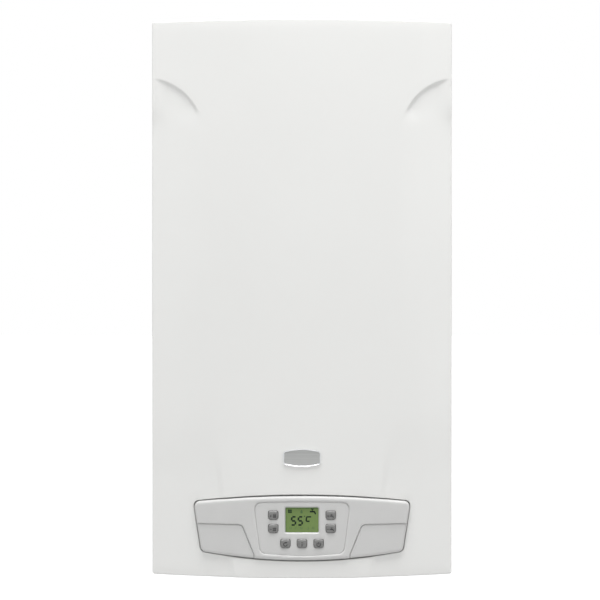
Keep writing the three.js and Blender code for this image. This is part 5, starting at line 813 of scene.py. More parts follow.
def front_cover():
    half = HALF_WIDTH - COVER_TAPER
    reach = half - COVER_ROLL
    outline = rounded_box(-reach, reach, COVER_ROLL, CASING_HEIGHT - COVER_ROLL, COVER_CORNER, 9.0)
    opening = fascia_outline(OPENING_GROW + OPENING_ROLL)
    spread = OPENING_SPREAD * (1 - (np.array(opening)[:, 0] / (FASCIA_TOP_HALF + 4)) ** 2)
    opening = grown(opening, spread)
    skin = Skin(outline, cover_surface, [opening], both_sides(side_line, COVER_LINES), (9.0, 14.0))
    at_foot = np.array(outline)[:, 1] < COVER_ROLL + 0.01
    skin.roll(0, COVER_ROLL, np.where(at_foot, SEAM_DEPTH + COVER_FOOT, SEAM_DEPTH), steps=6)
    seam = slice(len(skin.points) - len(outline), len(skin.points))
    skin.points[seam] = [(x * HALF_WIDTH / half, depth, h) for x, depth, h in skin.points[seam]]
    skin.roll(1, OPENING_ROLL, cover_surface(np.array(opening)) - OPENING_LIP)
    thicken(skin.stand_in("cover_skin", "front_cover"), COVER_SHEET)


# ---------------------------------------------------------------- control panel


def key_outline(grow):
    return shield(KEY_FOOT_HALF + grow, KEY_TOP_HALF + grow, KEY_FOOT - grow, KEY_BOTTOM - grow,
                  KEY_TOP + grow, KEY_CROWN + grow, KEY_CORNER + grow, 4.0)


def wing_line(offset):
    """Edge of the sunk wing on the right, moved into the wing by the offset."""
    corner = (WING_INNER - 2 + offset, WING_TOP - offset)
    start = (FASCIA_TOP_HALF + 5, WING_TOP - offset)
    low = FASCIA_BOTTOM - 5
    line = [tuple(p) for p in np.linspace(start, (WING_INNER + 5 + offset, WING_TOP - offset), 16)]
    line += bezier(line[-1], corner, (WING_INNER - 4 + offset, WING_TOP - 5 - offset), 8)[1:]
    line += [tuple(p) for p in np.linspace(line[-1], (WING_FOOT + offset, low), 14)][1:]
    return line


def fascia_surface(points):
    x, h = points.T
    mirrored = np.stack([np.abs(x), h], 1)
    edge = wing_line(0.0)
    sunk = inside(mirrored, edge + [(FASCIA_TOP_HALF + 5, FASCIA_BOTTOM - 5)])
    away = distance_to(mirrored, edge) * np.where(sunk, 1, -1)
    step = WING_SHARE * smoothstep((away + 0.2 * WING_EDGE) / WING_EDGE)
    step += (1 - WING_SHARE) * smoothstep(away / WING_COVE)
    groove = WING_GROOVE * np.exp(-((away - GROOVE_PLACE) / GROOVE_WIDTH) ** 2)
    return front_depth(x, FASCIA_PROUD) - WING_SINK * step - groove


def finer_near(loop, line, near, step):
    """Splits the parts of a mirrored outline that pass near a line on the right."""
    split = []
    for a, b in zip(loop, loop[1:] + loop[:1]):
        a, b = np.array(a), np.array(b)
        middle = np.array([[abs(a[0] + b[0]) / 2, (a[1] + b[1]) / 2]])
        close = distance_to(middle, line)[0] < near
        count = max(1, math.ceil(np.linalg.norm(b - a) / step)) if close else 1
        split += [tuple(a + (b - a) * i / count) for i in range(count)]
    return split


def fascia():
    outline = finer_near(fascia_outline(-FASCIA_ROLL), wing_line(0.0), 4.0, 0.6)
    pocket = key_outline(KEY_EDGE)
    skin = Skin(outline, fascia_surface, [pocket], both_sides(wing_line, WING_LINES), (6.0, 6.0), clear=0.4)
    skin.roll(0, FASCIA_ROLL, FASCIA_REAR, drop=FASCIA_DROP, steps=8)
    skin.roll(1, KEY_EDGE, fascia_surface(np.array(pocket)) - POCKET_DEPTH, drop=KEY_DROP, chamfer=0.4)
    thicken(skin.stand_in("fascia_moulding", "fascia"), FASCIA_WALL)
    flange = Skin(fascia_outline(FASCIA_FLANGE), lambda points: front_depth(points[:, 0]) - FLANGE_DEPTH,
                  [fascia_outline(-1.0)], (), (12.0, 12.0))
    flange.roll(0, 0.4, flange.surface(np.array(flange.outline)) - FLANGE_THICK, steps=3)
    flange.piece("fascia_flange", "grey_moulding", "chassis", slot="grey_moulding")
    shelf = Skin(key_outline(KEY_EDGE + 1.0), lambda points: key_surface(points) - SHELF_DEPTH,
                 button_holes(0.0), (), (8.0, 8.0))
    thicken(shelf.piece("fascia_pocket", "grey_moulding", "chassis", slot="grey_moulding"), SHELF_THICK)


def key_surface(points):
    return front_depth(points[:, 0], FASCIA_PROUD - KEY_SINK)


def button_outline(x, h, grow):
    w, t = BUTTON_WIDTH / 2 + grow, BUTTON_HEIGHT / 2 + grow
    return rounded_box(x - w, x + w, h - t, h + t, BUTTON_FOOT_CORNER + grow, 2.0, BUTTON_TOP_CORNER + grow)


def button_holes(grow):
    """The window's hole, grown, then the holes of the seven buttons."""
    window = rounded_box(-LCD_HALF - grow, LCD_HALF + grow, LCD_BOTTOM - grow, LCD_TOP + grow,
                         LCD_CORNER + grow, 4.0)
    return [window] + [button_outline(x, h, BUTTON_GAP) for x, h in BUTTONS.values()]


def button_level(x):
    return front_depth(x, FASCIA_PROUD - KEY_SINK) + BUTTON_PROUD


def key_panel():
    window, *holes = button_holes(LCD_BEZEL)
    holes = [window] + [grown(hole, HOLE_ROLL) for hole in holes]
    skin = Skin(key_outline(-KEY_GAP - KEY_ROLL), key_surface, holes, (), (5.0, 6.0))
    skin.roll(0, KEY_ROLL, key_surface(np.array(skin.outline)) - KEY_RIM, steps=4)
    skin.roll(1, LCD_BEZEL, key_surface(np.array(window)) - LCD_SINK - 0.4, drop=LCD_SINK, chamfer=0.9)
    for i, hole in enumerate(holes[1:], 2):
        skin.roll(i, HOLE_ROLL, key_surface(np.array(hole)) - HOLE_DEEP, steps=3)
    skin.stand_in("key_plate", "key_panel")


def button_caps():
    for name, (x, h) in BUTTONS.items():
        crown = button_level(x)

        def surface(points, x=x, h=h, crown=crown):
            far = ((points[:, 0] - x) / BUTTON_WIDTH) ** 2 + ((points[:, 1] - h) / BUTTON_HEIGHT) ** 2
            return crown - BUTTON_CROWN * far

        edge = button_outline(x, h, 0.0)
        roll = BUTTON_ROLL + BUTTON_BROW * np.maximum(loop_normals(edge)[:, 1], 0)
        skin = Skin(grown(edge, -roll), surface, (), (), (2.0, 2.0), clear=0.4)
        skin.roll(0, roll, crown - BUTTON_DEEP, drop=BUTTON_DROP, chamfer=0.8, steps=5)
        skin.stand_in(name + "_cap", name)


# ---------------------------------------------------------------- signs on the panel


def level(depth):
    """A surface of one depth."""
    return lambda points: np.full(len(points), depth)


class Sign(Form):
    """Flat strokes that lie on a surface, drawn in front view."""

    def __init__(self, surface, lift=0.05):
        super().__init__()
        self.surface = surface
        self.lift = lift

    def polygon(self, loop):
        flat = np.array(loop, float)
        area = np.sum(flat[:, 0] * np.roll(flat[:, 1], -1) - np.roll(flat[:, 0], -1) * flat[:, 1])
        if area < 0:
            flat = flat[::-1]
        top = self.surface(flat) + self.lift
        start, count = len(self.points), len(flat)
        for depth in (top, top - 2 * self.lift):
            self.points += [(x, d, h) for (x, h), d in zip(flat, depth)]
        self.faces.append(tuple(range(start, start + count)))
        for i in range(count):
            j = (i + 1) % count
            self.faces.append((start + i, start + count + i, start + count + j, start + j))

    def stroke(self, line, width):
        for (x0, h0), (x1, h1) in zip(line, line[1:]):
            reach = math.hypot(x1 - x0, h1 - h0)
            u, v = (x1 - x0) / reach * width / 2, (h1 - h0) / reach * width / 2
            self.polygon([(x0 - v, h0 + u), (x0 + v, h0 - u), (x1 + v, h1 - u), (x1 - v, h1 + u)])

    def arc(self, x, h, radius, start, end, width, steps=14):
        turns = [math.radians(start + (end - start) * i / steps) for i in range(steps + 1)]
        self.stroke([(x + radius * math.cos(t), h + radius * math.sin(t)) for t in turns], width)

    def draw(self, name, x, h, size):
        for (x0, h0), (x1, h1), width in STROKES[name]:
            self.stroke([(x + x0 * size, h + h0 * size), (x + x1 * size, h + h1 * size)], width * size)


# Both ends and the width of each stroke, as shares of the sign's size.
STROKES = {
    "radiator": [((x, -0.42), (x, 0.42), 0.16) for x in (-0.30, 0, 0.30)]
    + [((-0.45, h), (0.45, h), 0.10) for h in (-0.3, 0.3)],
    "tap": [((-0.5, 0), (0.25, 0), 0.26), ((0.2, 0.05), (0.45, -0.42), 0.22), ((-0.1, 0), (-0.1, 0.4), 0.14),
            ((-0.35, 0.42), (0.15, 0.42), 0.14)],
    "down": [((-0.5, 0), (0.5, 0), 0.28)],
    "up": [((-0.5, 0), (0.5, 0), 0.28), ((0, -0.5), (0, -0.15), 0.28), ((0, 0.15), (0, 0.5), 0.28)],
}
SIGN_DROP = 0.8
SIGN_SIZE = 5.0
STEP_SIZE = 2.6
SIGN_WIDTH = 1.1
INFO_WIDTH = 1.2


def button_signs():
    for name, (x, h) in BUTTONS.items():
        sign = Sign(level(button_level(x)))
        low = h - SIGN_DROP
        last = name.split("_")[-1]
        if "heating" in name:
            sign.draw("radiator", x + 1.6, low, SIGN_SIZE)
            sign.draw(last, x - 3.2, low, STEP_SIZE)
        elif "water" in name:
            sign.draw("tap", x + 1.4, low, SIGN_SIZE)
            sign.draw(last, x - 3.4, low, STEP_SIZE)
        elif last == "reset":
            sign.arc(x, low, 2.3, 60, 360, SIGN_WIDTH)
            sign.polygon([(x + 0.3, low + 3.6), (x + 0.3, low + 1.0), (x + 2.4, low + 2.4)])
        elif last == "info":
            for foot, top in ((-2.6, 0.8), (1.8, 3.0)):
                sign.stroke([(x, low + foot), (x, low + top)], INFO_WIDTH)
        else:
            sign.arc(x, low - 0.2, 2.4, 125, 415, SIGN_WIDTH)
            sign.stroke([(x, low), (x, low + 3.0)], SIGN_WIDTH)
        sign.piece(name + "_sign", "print_grey", BODIES[name])


SEGMENTS = {
    "a": ((0, 2), (1, 2)), "b": ((1, 2), (1, 1)), "c": ((1, 1), (1, 0)), "d": ((0, 0), (1, 0)),
    "e": ((0, 0), (0, 1)), "f": ((0, 1), (0, 2)), "g": ((0, 1), (1, 1)),
}


def draw_digit(sign, segments, x, h, width, height, thick, slant=0.10):
    for key in segments:
        (u0, v0), (u1, v1) = SEGMENTS[key]
        ends = []
        for u, v, other_u, other_v in ((u0, v0, u1, v1), (u1, v1, u0, v0)):
            px, ph = u * width, v * height / 2
            px += 0.32 * thick * (other_u - u)
            ph += 0.32 * thick * (other_v - v)
            ends.append((x + px + slant * ph, h + ph))
        sign.stroke(ends, thick)


DIGIT_X = (-14.2, -5.4)
DIGIT_H = 70.2
DIGIT_SIZE = (5.4, 10.6, 2.2)  # width, height and stroke
FAINT = 0.4


def display():
    depth = front_depth(LCD_HALF, FASCIA_PROUD - KEY_SINK) - LCD_SINK
    outline = rounded_box(-LCD_HALF + LCD_GAP, LCD_HALF - LCD_GAP, LCD_BOTTOM + LCD_GAP, LCD_TOP - LCD_GAP,
                          LCD_CORNER, 5.0)
    skin = Skin(outline, level(depth), (), (), (8.0, 8.0))
    skin.roll(0, 0.25, -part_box("lcd_window")[1].y / MM, steps=3)
    skin.stand_in("display_window", "lcd_window")
    sign = Sign(level(depth + 0.02))
    for x in DIGIT_X:
        draw_digit(sign, "afgcd", x, DIGIT_H, *DIGIT_SIZE)
    sign.stroke([(11.8, 80.8), (6.6, 80.8), (5.9, 80.1), (5.4, 75.6), (6.0, 75.0), (9.8, 75.0)], 1.8)
    sign.arc(3.2, 81.4, 0.6, 0, 360, 0.5, 10)
    sign.draw("tap", 14.2, 87.6, 8.0)
    sign.draw("radiator", -15.8, 88.0, 5.4)
    # Unlit segments and the icon block, then painted shade strips on the window's edges.
    faint_marks_and_painted_shade = Sign(level(depth + 0.01))
    faint_marks_and_painted_shade.polygon([(-18.6, 85.8), (-13.0, 85.8), (-13.0, 90.4), (-18.6, 90.4)])
    faint_marks_and_painted_shade.polygon([(-2.0, 85.4), (0.8, 85.4), (0.9, 87.6), (-0.6, 90.6), (-2.1, 87.6)])
    for x in (-15.0, -1.0, 14.5):
        faint_marks_and_painted_shade.arc(x, 66.4, 1.3, 0, 360, FAINT, 12)
    faint_marks_and_painted_shade.stroke([(-9.5, 64.6), (-7.2, 68.4)], FAINT)
    faint_marks_and_painted_shade.stroke([(6.0, 64.8), (9.0, 64.8), (7.5, 68.0)], FAINT)
    # Painted shade: dark green strips along the window's top and left edges stand in for the shadow that the
    # sunk window's bezel casts there.
    left, right, top = -LCD_HALF + 0.5, LCD_HALF - 0.5, LCD_TOP - 0.5
    faint_marks_and_painted_shade.stroke([(left, top - 0.5), (right, top - 0.5)], 1.0)
    faint_marks_and_painted_shade.stroke([(left + 0.35, LCD_BOTTOM + 0.5), (left + 0.35, top - 1.0)], 0.7)
    sign.piece("display_signs", "display_ink", "chassis")
    faint_marks_and_painted_shade.piece("display_faint_signs_and_painted_shade", "display_unlit_and_painted_shade", "chassis")


# ---------------------------------------------------------------- badge


def badge_outline(grow):
    w, s, c = BADGE_WIDTH / 2 + grow, BADGE_SIDE / 2 + grow, BADGE_HEIGHT / 2 + grow
    return shield(w, w, BADGE_H - s, BADGE_H - c, BADGE_H + s, BADGE_H + c, BADGE_CORNER + max(grow, 0), 2.5)


def badge():
    front = -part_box("badge_plate")[0].y / MM
    rear = front - BADGE_THICK

    def dish(points):
        return front - BADGE_SINK - BADGE_DISH * ((points[:, 1] - BADGE_H) / (BADGE_HEIGHT / 2)) ** 2

    ring = badge_outline(-0.15)
    rim = Skin(ring, level(front - 0.05), [grown(ring, -0.35)], (), (2.0, 2.0))
    rim.roll(0, 0.15, rear, steps=3)
    rim.roll(1, 0.8, rear, drop=0.8, chamfer=0.9)
    rim.stand_in("badge_rim", "badge_plate", "aluminium")
    plate = Skin(badge_outline(-BADGE_LIP), dish, (), (), (3.0, 1.6), clear=0.5)
    plate.roll(0, 0.3, rear, steps=3)
    plate.piece("badge_face", "badge_metal", "cover", slot="steel")


# ---------------------------------------------------------------- flue, tails and what hangs below

BASE_TOP = 29.5
FIT = 0.3
FLUE_RADIUS = 50.0
FLUE_PIPE = 30.0
FLUE_WALL = 1.5
FLUE_SLEEVE_FOOT = 712.8
FLUE_FLANGE_THICK = 2.0
SPOKE_HEIGHT = 8.0
SPOKE_WIDTH = 2.0
RIM_EDGE = 0.5
UPPER_BORE_FOOT = 56.0
PORT_DEPTH = 95.0
PORT_PITCH = 65.0
PORT_FOOT = -20.0
PORT_RADIUS = 13.0
PORT_BORE = 9.0
THREAD_LENGTH = 20.0
THREAD_PITCH = 1.8
THREAD_DEPTH = 0.9
NUT_RADIUS = 17.0
NUT_FOOT = 11.5
NUT_TOP = 27.5
COLUMN_RADIUS = 17.0
SENSOR_RADIUS = 14.0
BRIDGE_RADIUS = 11.0
BRIDGE_H = 62.0
EXCHANGER_PORT_H = 100.0
PLATE_HX_FRONT = 72.3
RELIEF_X = 98.0
RELIEF_H = 66.0
TAP_DEPTH = 132.0


def port_column(body, x, radius, top, bore, upper_bore=None, upper_foot=0.0):
    """A casting column on its threaded tail. Without an upper bore its top is closed."""
    root = PORT_RADIUS - THREAD_DEPTH
    first = PORT_FOOT + 0.5
    ridges = int(THREAD_LENGTH / THREAD_PITCH)
    last = THREAD_PITCH * ridges
    outer = [(root, PORT_FOOT)]
    for i in range(ridges):
        h = first + THREAD_PITCH * i
        outer += [(root, h), (PORT_RADIUS, h + THREAD_PITCH / 2)]
    foot = BASE_TOP + FIT
    outer += [(root, first + last), (PORT_RADIUS, PORT_FOOT + 2 + last), (PORT_RADIUS, foot)]
    outer += [(radius - 1, foot), (radius, foot + 1)] if radius > PORT_RADIUS else [(radius, foot)]
    outer += [(radius, top - 1), (radius - 1, top)]
    if upper_bore is None:
        floor = top - 8
        profile = [(0, floor), (bore, floor), (bore, PORT_FOOT + 1), (bore + 1, PORT_FOOT), *outer, (0, top)]
    else:
        profile = [(bore + 1, PORT_FOOT), *outer, (upper_bore, top), (upper_bore, upper_foot),
                   (bore, upper_foot), (bore, PORT_FOOT + 1), (bore + 1, PORT_FOOT)]
    body.turn("h", profile, x, PORT_DEPTH)
    hole, edge = PORT_RADIUS - 0.5, 1.5
    body.turn("h", [(hole, NUT_FOOT), (NUT_RADIUS - edge, NUT_FOOT), (NUT_RADIUS, NUT_FOOT + edge),
                    (NUT_RADIUS, NUT_TOP - edge), (NUT_RADIUS - edge, NUT_TOP), (hole, NUT_TOP),
                    (hole, NUT_FOOT)], x, PORT_DEPTH, 6, 30)
    return body


def flue_collar():
    (low_x, low_d, foot), (high_x, high_d, top) = node_box("flue_collar")
    depth, reach = (low_d + high_d) / 2, (high_x - low_x) / 2
    r, w, p, e, flange = FLUE_RADIUS, FLUE_WALL, FLUE_PIPE, RIM_EDGE, CASING_HEIGHT + FIT
    flange_top = flange + FLUE_FLANGE_THICK

    def lip(radius):
        return [(radius, top - e), (radius - e, top), (radius - w + 0.4, top), (radius - w, top - e)]

    body = Solid()
    body.turn("h", [
        (r - w, FLUE_SLEEVE_FOOT), (r, FLUE_SLEEVE_FOOT), (r, flange), (reach - e, flange),
        (reach, flange + 0.6), (reach, flange_top - 0.6), (reach - e, flange_top), (r + 1.4, flange_top),
        (r + 0.4, flange_top + 0.5), (r, flange_top + 1.6), *lip(r), (r - w, FLUE_SLEEVE_FOOT),
    ], 0, depth, 120)
    body.turn("h", [(p - w, foot), (p, foot), *lip(p), (p - w, foot)], 0, depth, 96)
    for i in range(3):
        u = np.array((math.cos(2 * math.pi * i / 3), -math.sin(2 * math.pi * i / 3)))
        middle = np.array((0, depth))
        body.bar(middle + u * (p - 0.5), middle + u * (r - w / 2), SPOKE_WIDTH, CASING_HEIGHT - SPOKE_HEIGHT,
                 CASING_HEIGHT)
    body.stand_in("flue_collar_turned", "flue_collar")


def two_ports(outer, inner, top, upper_bore, inner_top):
    """A group's columns at the outer and inner port, with their bridge and the exchanger's port."""
    body, side = Solid(), math.copysign(1, outer)
    port_column(body, outer, COLUMN_RADIUS, top, PORT_BORE, upper_bore, UPPER_BORE_FOOT)
    port_column(body, inner, SENSOR_RADIUS, inner_top, PORT_BORE)
    ends = sorted((outer - 14 * side, inner + 11 * side))
    body.rod("x", BRIDGE_RADIUS, PORT_DEPTH, BRIDGE_H, *ends)
    return body.rod("depth", BRIDGE_RADIUS, inner, EXCHANGER_PORT_H, PLATE_HX_FRONT, PORT_DEPTH - 10)


def flow_group():
    x = -2 * PORT_PITCH
    body = two_ports(x, -PORT_PITCH, 150.0, 12.0, 114.0)
    sleeve = [(7.0, 110.0), (12.0, 110.0), (12.0, 124.0), (11.0, 125.0), (7.0, 125.0), (7.0, 110.0)]
    body.turn("depth", sleeve, x, 125.0)
    body.nut("h", COLUMN_RADIUS + 3, x, PORT_DEPTH, 136.0, 143.0)
    body.stand_in("flow_group_casting", "flow_group")


def return_group():
    x = 2 * PORT_PITCH
    body = two_ports(x, PORT_PITCH, 100.0, PORT_BORE, 118.0)
    body.rod("depth", BRIDGE_RADIUS, RELIEF_X, RELIEF_H, PORT_DEPTH - 4, PORT_DEPTH + 45)
    body.nut("depth", BRIDGE_RADIUS + 3, RELIEF_X, RELIEF_H, 114.0, 124.0)
    body.rod("h", 8.0, RELIEF_X, TAP_DEPTH, 22.3, RELIEF_H)
    body.rod("depth", 8.0, x, 84.0, 60.0, PORT_DEPTH - 14)
    body.stand_in("return_group_casting", "return_group")


def gas_inlet_pipe():
    body = port_column(Solid(), 0.0, 9.0, 109.7, 6.5)
    body.nut("h", 14.0, 0.0, PORT_DEPTH, 95.7, 109.7)
    body.stand_in("gas_inlet_tube", "gas_inlet_pipe")


RELIEF_LEVELS = [(1.5, 140.3), (0.4, 140.7), (0, 141.8), (0, 157.5), (0.8, 159.3), (2.6, 160.3)]
TAP_LEVELS = [(2.4, -18.0), (0.8, -17.4), (0, -15.8), (0, 12.4), (0.5, 13.6), (1.4, 14.0)]


def knobs():
    relief = Solid().notched("depth", 15.0, RELIEF_X, RELIEF_H, RELIEF_LEVELS, 8)
    relief.stand_in("relief_knob_grip", "relief_valve_knob")
    tap = Solid().notched("h", 12.0, RELIEF_X, TAP_DEPTH, TAP_LEVELS, 6)
    tap.rod("h", 7.0, RELIEF_X, TAP_DEPTH, 13.0, 22.0)
    tap.stand_in("filling_knob_grip", "filling_tap_knob")


GAUGE_X = -98.0
GAUGE_DEPTH = 150.0
GAUGE_RADIUS = 20.0
GAUGE_FOOT = -10.0
GAUGE_TOP = 14.0
DIAL_H = -3.0
DIAL_RADIUS = 18.0
DIAL_START = 135.0
DIAL_SWEEP = 270.0
DIAL_MARKS = 20
LONG_MARK = (12.5, 0.8)  # inner end and width
SHORT_MARK = (14.0, 0.35)
MARK_END = 16.0
ZONE_START = 0.30
ZONE_SWEEP = 0.22
ZONE_RADIUS = 10.8
ZONE_PARTS = 8


def pressure_gauge():
    r, foot, top = GAUGE_RADIUS, GAUGE_FOOT, GAUGE_TOP
    middle = np.array((GAUGE_X, GAUGE_DEPTH))
    body = Solid()
    body.turn("h", [
        (0, DIAL_H), (DIAL_RADIUS, DIAL_H), (DIAL_RADIUS, foot + 0.6), (DIAL_RADIUS + 0.5, foot),
        (r - 0.6, foot), (r, foot + 0.6), (r, foot + 3), (r - 0.7, foot + 4), (r - 0.7, top - 3),
        (r - 3, top), (5, top), (5, BASE_TOP + 12), (0, BASE_TOP + 12),
    ], *middle, 96)
    body.nut("h", 9.0, *middle, BASE_TOP + FIT, BASE_TOP + 6)
    body.stand_in("gauge_cup", "pressure_gauge")
    dial = Solid().rod("h", DIAL_RADIUS - 0.1, *middle, DIAL_H - 0.3, DIAL_H + 0.1, 0.1, 96)
    dial.piece("gauge_dial", "turbine_plastic", "chassis")

    def at(share, radius):
        turn = math.radians(DIAL_START + DIAL_SWEEP * share)
        return middle + radius * np.array((-math.sin(turn), -math.cos(turn)))

    marks, zone = Solid(), Solid()
    low, high = DIAL_H - 0.4, DIAL_H - 0.2
    for i in range(DIAL_MARKS + 1):
        start, width = LONG_MARK if i % 5 == 0 else SHORT_MARK
        marks.bar(at(i / DIAL_MARKS, start), at(i / DIAL_MARKS, MARK_END), width, low, high)
    marks.piece("gauge_marks", "knob_black", "chassis")
    for i in range(ZONE_PARTS):
        ends = [at(ZONE_START + ZONE_SWEEP * k / ZONE_PARTS, ZONE_RADIUS) for k in (i, i + 1)]
        zone.bar(*ends, 1.4, low, high)
    zone.piece("gauge_zone", "circuit_green", "chassis")
    lens = Solid().rod("h", DIAL_RADIUS - FIT, *middle, foot + 0.5, foot + 2, 0.3, 96)
    lens.stand_in("gauge_lens_disc", "gauge_lens")


# ---------------------------------------------------------------- pipes, vessel, pump and valves

STACK_DEPTH = 169.0
RISING_X = 164.5
EXCHANGER_H = 500.5
EXCHANGER_END = 140.3
CHAMBER_FOOT = 303.2
VESSEL_H = 505.0
VESSEL_RADIUS = 160.0
VESSEL_DEPTH = 45.5
PUMP_X = 118.0
PUMP_H = 185.0
PUMP_RADIUS = 48.0
PUMP_BACK = 70.0
PUMP_FRONT = 120.0
MOTOR_RADIUS = 41.0
MOTOR_FRONT = 186.3
SIGHT_X = -60.0
SIGHT_H = 411.2
LID_FRONT = 251.3

VESSEL_BACK = 8.0
VESSEL_FRONT = 83.0
VESSEL_FLAT = 96.0
VESSEL_BULGE = 56.0
VESSEL_EDGE = 40.5
VESSEL_DOME = 32.5
VALVE_H = 150.0
GAS_BACK = 83.0
GAS_FRONT = 158.0
GAS_FOOT = 118.0
GAS_TOP = 182.0
VENT_FOOT = 239.3
VENT_TOP = 281.3
VENT_X = 92.0
PUMP_HOLLOW = 40.9
MOTOR_RIBS = 9
RIB_PITCH = 5.5
SCREW_CIRCLE = 44.5

# Piece, corners, radius and bend of each pipe or hose, by node.
PIPES = {
    "flow_pipe": ("flow_pipe_bent", [
        (-130, 125.3, 125), (-130, 157.3, 125), (-RISING_X, STACK_DEPTH, 185),
        (-RISING_X, STACK_DEPTH, EXCHANGER_H), (-EXCHANGER_END, STACK_DEPTH, EXCHANGER_H)], 9.0, 17.0),
    "return_pipe": ("return_pipe_bent", [
        (150, 95, 245.3), (150, 95, 261.3), (RISING_X, STACK_DEPTH, CHAMBER_FOOT - 24),
        (RISING_X, STACK_DEPTH, EXCHANGER_H), (EXCHANGER_END, STACK_DEPTH, EXCHANGER_H)], 9.0, 17.0),
    "gas_supply_pipe": ("gas_pipe_bent", [
        (0, 143, 194.3), (0, 143, 226.3), (0, 238, CHAMBER_FOOT - 28), (0, 238, 320.9)], 7.0, 20.0),
    "pressure_tube": ("pressure_tube_bent", [
        (125, 100.5, 612.7), (125, 100.5, 594.7), (80, 141.8, 594.7), (57.3, 141.8, 622.7),
        (57.3, 141.8, 676.8), (33.3, 141.8, 676.8)], 3.5, 14.0),
    "vessel_hose": ("vessel_hose_braid", [
        (40, VESSEL_DEPTH, 335.8), (40, VESSEL_DEPTH, 295.8), (130, 33.2, 245),
        (130, 33.2, 84), (130, 59.7, 84)], 6.0, 26.0),
}


def pipes():
    for node, (name, corners, radius, bend) in PIPES.items():
        Solid().tube(corners, radius, bend).stand_in(name, node)


def expansion_vessel():
    r, back, front = VESSEL_RADIUS, VESSEL_BACK, VESSEL_FRONT
    turns = [math.pi / 2 * i / 14 for i in range(15)]
    shell = [(VESSEL_FLAT + VESSEL_BULGE * math.sin(t), VESSEL_EDGE - VESSEL_DOME * math.cos(t))
             for t in turns]
    profile = [(0, back), *shell, (r - 1, 41), (r, 42), (r, 49), (r - 1, 50),
               *[(radius, back + front - along) for radius, along in reversed(shell)], (0, front)]
    body = Solid().turn("depth", profile, 0, VESSEL_H, 144)
    body.rod("depth", 20.0, 0, VESSEL_H, 5.5, 9.0)
    body.rod("h", 8.0, 40, VESSEL_DEPTH, 336.1, 358.0)
    body.nut("h", 11.0, 40, VESSEL_DEPTH, 338.0, 346.0)
    body.stand_in("vessel_shell", "expansion_vessel")


def pump_housing():
    r, back, front, hollow = PUMP_RADIUS, PUMP_BACK, PUMP_FRONT, PUMP_HOLLOW
    housing = Solid()
    housing.turn("depth", [
        (hollow, back + 7), (hollow, front), (r - 0.8, front), (r, front - 0.8), (r, front - 8),
        (r - 3, front - 11), (r - 2, back + 10), (r - 10, back), (0, back), (0, back + 7), (hollow, back + 7),
    ], PUMP_X, PUMP_H, 96)
    for radius, x, foot, top, edge in ((19.0, 130, 100.3, 150, 1.2), (22.0, 130, 100.3, 107, 1.2),
                                       (14.0, 150, 192, 245, 1.0)):
        housing.rod("h", radius, x, PORT_DEPTH, foot, top, edge)
    housing.nut("h", 17.0, 150, PORT_DEPTH, 232, 244)
    housing.rod("h", 14.0, VENT_X, PORT_DEPTH, 216, 239, 1.0)
    housing.stand_in("pump_casting", "pump_housing")


def pump_motor():
    motor = Solid()
    back, front, r, collar = PUMP_FRONT + FIT, MOTOR_FRONT, MOTOR_RADIUS, PUMP_RADIUS
    profile = [(0, back), (collar - 0.6, back), (collar, back + 0.6), (collar, back + 6.4),
               (collar - 0.6, back + 7), (r, back + 8)]
    for i in range(MOTOR_RIBS):
        depth = back + 10 + RIB_PITCH * i
        profile += [(r, depth), (r - 1.2, depth + 0.6), (r - 1.2, depth + 2.2), (r, depth + 2.8)]
    profile += [(r, front - 5), (r - 1.6, front - 1.6), (r - 5, front), (12, front), (11.4, front + 2.6),
                (9.5, front + 3), (0, front + 3)]
    motor.turn("depth", profile, PUMP_X, PUMP_H, 96)
    motor.box(PUMP_X - r - 12, PUMP_X - r + 16, back + 12, front - 10, PUMP_H - 28, PUMP_H + 24)
    for side in (-1, 1):
        for turn in (math.radians(45), math.radians(135)):
            x = PUMP_X + SCREW_CIRCLE * side * math.cos(turn)
            h = PUMP_H + SCREW_CIRCLE * side * math.sin(turn)
            motor.rod("depth", 2.6, x, h, back + 7, back + 10, 0.5, 24)
    motor.stand_in("pump_motor_can", "pump_motor", edges=0.5)


def air_vent():
    foot, top = VENT_FOOT, VENT_TOP
    vent = Solid()
    vent.turn("h", [(0, foot), (13.4, foot), (14, foot + 0.6), (15.4, foot + 3.4), (16, foot + 4.4),
                    (16, top - 14.4), (15.2, top - 13), (11, top - 10), (7, top - 9.2), (6, top - 8.4),
                    (6, top - 0.8), (5.2, top), (0, top)], VENT_X, PORT_DEPTH, 72)
    vent.stand_in("air_vent_turned", "air_vent")


def gas_valve():
    back, front, foot, top = GAS_BACK, GAS_FRONT, GAS_FOOT, GAS_TOP
    body = Solid()
    body.box(-28, 28, back, front, foot, top)
    body.nut("h", 13.0, 0, PORT_DEPTH, foot - 8, foot + 2)
    body.rod("h", 17.0, 6, 105, top - 1, top + 32)
    body.nut("h", 11.0, 0, 143, top - 1, top + 12)
    body.rod("depth", 18.0, 0, VALVE_H, front - 1, front + 26)
    body.rod("depth", 7.0, 0, VALVE_H, front + 25, front + 32)
    body.box(-44, -27, front - 52, front - 12, foot + 14, top - 10)
    for x in (-22, 22):
        for at in (foot + 6, top - 6):
            body.rod("depth", 3.0, x, at, front - 0.5, front + 2.5, 0.5, 24)
    body.stand_in("gas_valve_casting", "gas_valve", edges=0.8)


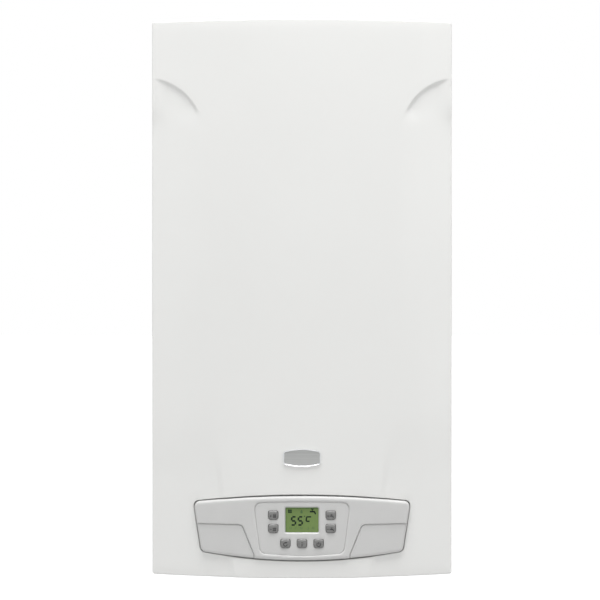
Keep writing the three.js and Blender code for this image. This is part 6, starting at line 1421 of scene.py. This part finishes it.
def sight_glass():
    back = LID_FRONT + FIT
    ring = Solid().turn("depth", [(10, back), (18, back), (18, back + 2.4), (17, back + 3), (14.4, back + 4),
                                  (12.6, back + 4), (11.6, back + 3), (10, back + 2.6), (10, back)],
                        SIGHT_X, SIGHT_H, 72)
    ring.piece("sight_ring", "steel", "chassis")
    glass = Solid().rod("depth", 10.2, SIGHT_X, SIGHT_H, back + 0.4, back + 2.2, 0.3, 72)
    glass.stand_in("sight_glass_disc", "sight_glass")


# ---------------------------------------------------------------- sheet pieces with broken edges

SHEET_EDGES = {
    "wall_rail": 0.5, "back_panel": 0.3, "side_panel_left": 0.4, "side_panel_right": 0.4, "top_panel": 0.3,
    "base_plate": 0.3, "chamber_shell": 0.3, "chamber_lid": 0.4, "control_box": 0.6, "cover_screw_left": 0.35,
    "cover_screw_right": 0.35, "valve_actuator": 1.0, "plate_heat_exchanger": 0.4, "firebox": 0.4,
    "fume_hood": 0.4, "fan_housing": 0.3, "fan_motor": 0.5, "air_pressure_switch": 0.5, "gas_manifold": 0.4,
}
CLAMPED_EDGES = ("firebox", "fume_hood", "fan_housing", "fan_motor", "air_pressure_switch", "gas_manifold")


def soften_sheets():
    """Stands a copy in for each sheet node, with its flats merged and its edges broken."""
    for name, width in SHEET_EDGES.items():
        form = bmesh.new()
        form.from_mesh(frame["nodes"][name].data)
        bmesh.ops.remove_doubles(form, verts=form.verts, dist=1e-6)
        bmesh.ops.dissolve_limit(form, angle_limit=math.radians(0.5), verts=form.verts, edges=form.edges)
        verts = [tuple(v.co) for v in form.verts]
        form.verts.index_update()
        faces = [tuple(v.index for v in face.verts) for face in form.faces]
        form.free()
        slot = SLOTS[name]
        piece = add_piece(name + "_edged", verts, faces, slot, BODIES[name], slot, [name], 32.0, True)
        break_edges(piece, width, name in CLAMPED_EDGES)


# ---------------------------------------------------------------- what the CAD nodes keep


def dress_cad_nodes():
    for name, node in frame["nodes"].items():
        node.data.materials.clear()
        node.data.materials.append(FINISHES[SLOTS[name]])


add_camera()
add_lamps()
set_world()
add_floor()
FINISHES = {name: make_finish(name) for name in LOOKS}
for make in (dress_cad_nodes, front_cover, fascia, key_panel, button_caps, button_signs, display, badge,
             flue_collar, flow_group, return_group, gas_inlet_pipe, knobs, pressure_gauge, pipes,
             expansion_vessel, pump_housing, pump_motor, air_vent, gas_valve, sight_glass, soften_sheets):
    make()

bpy.context.scene.view_settings.view_transform = "Standard"
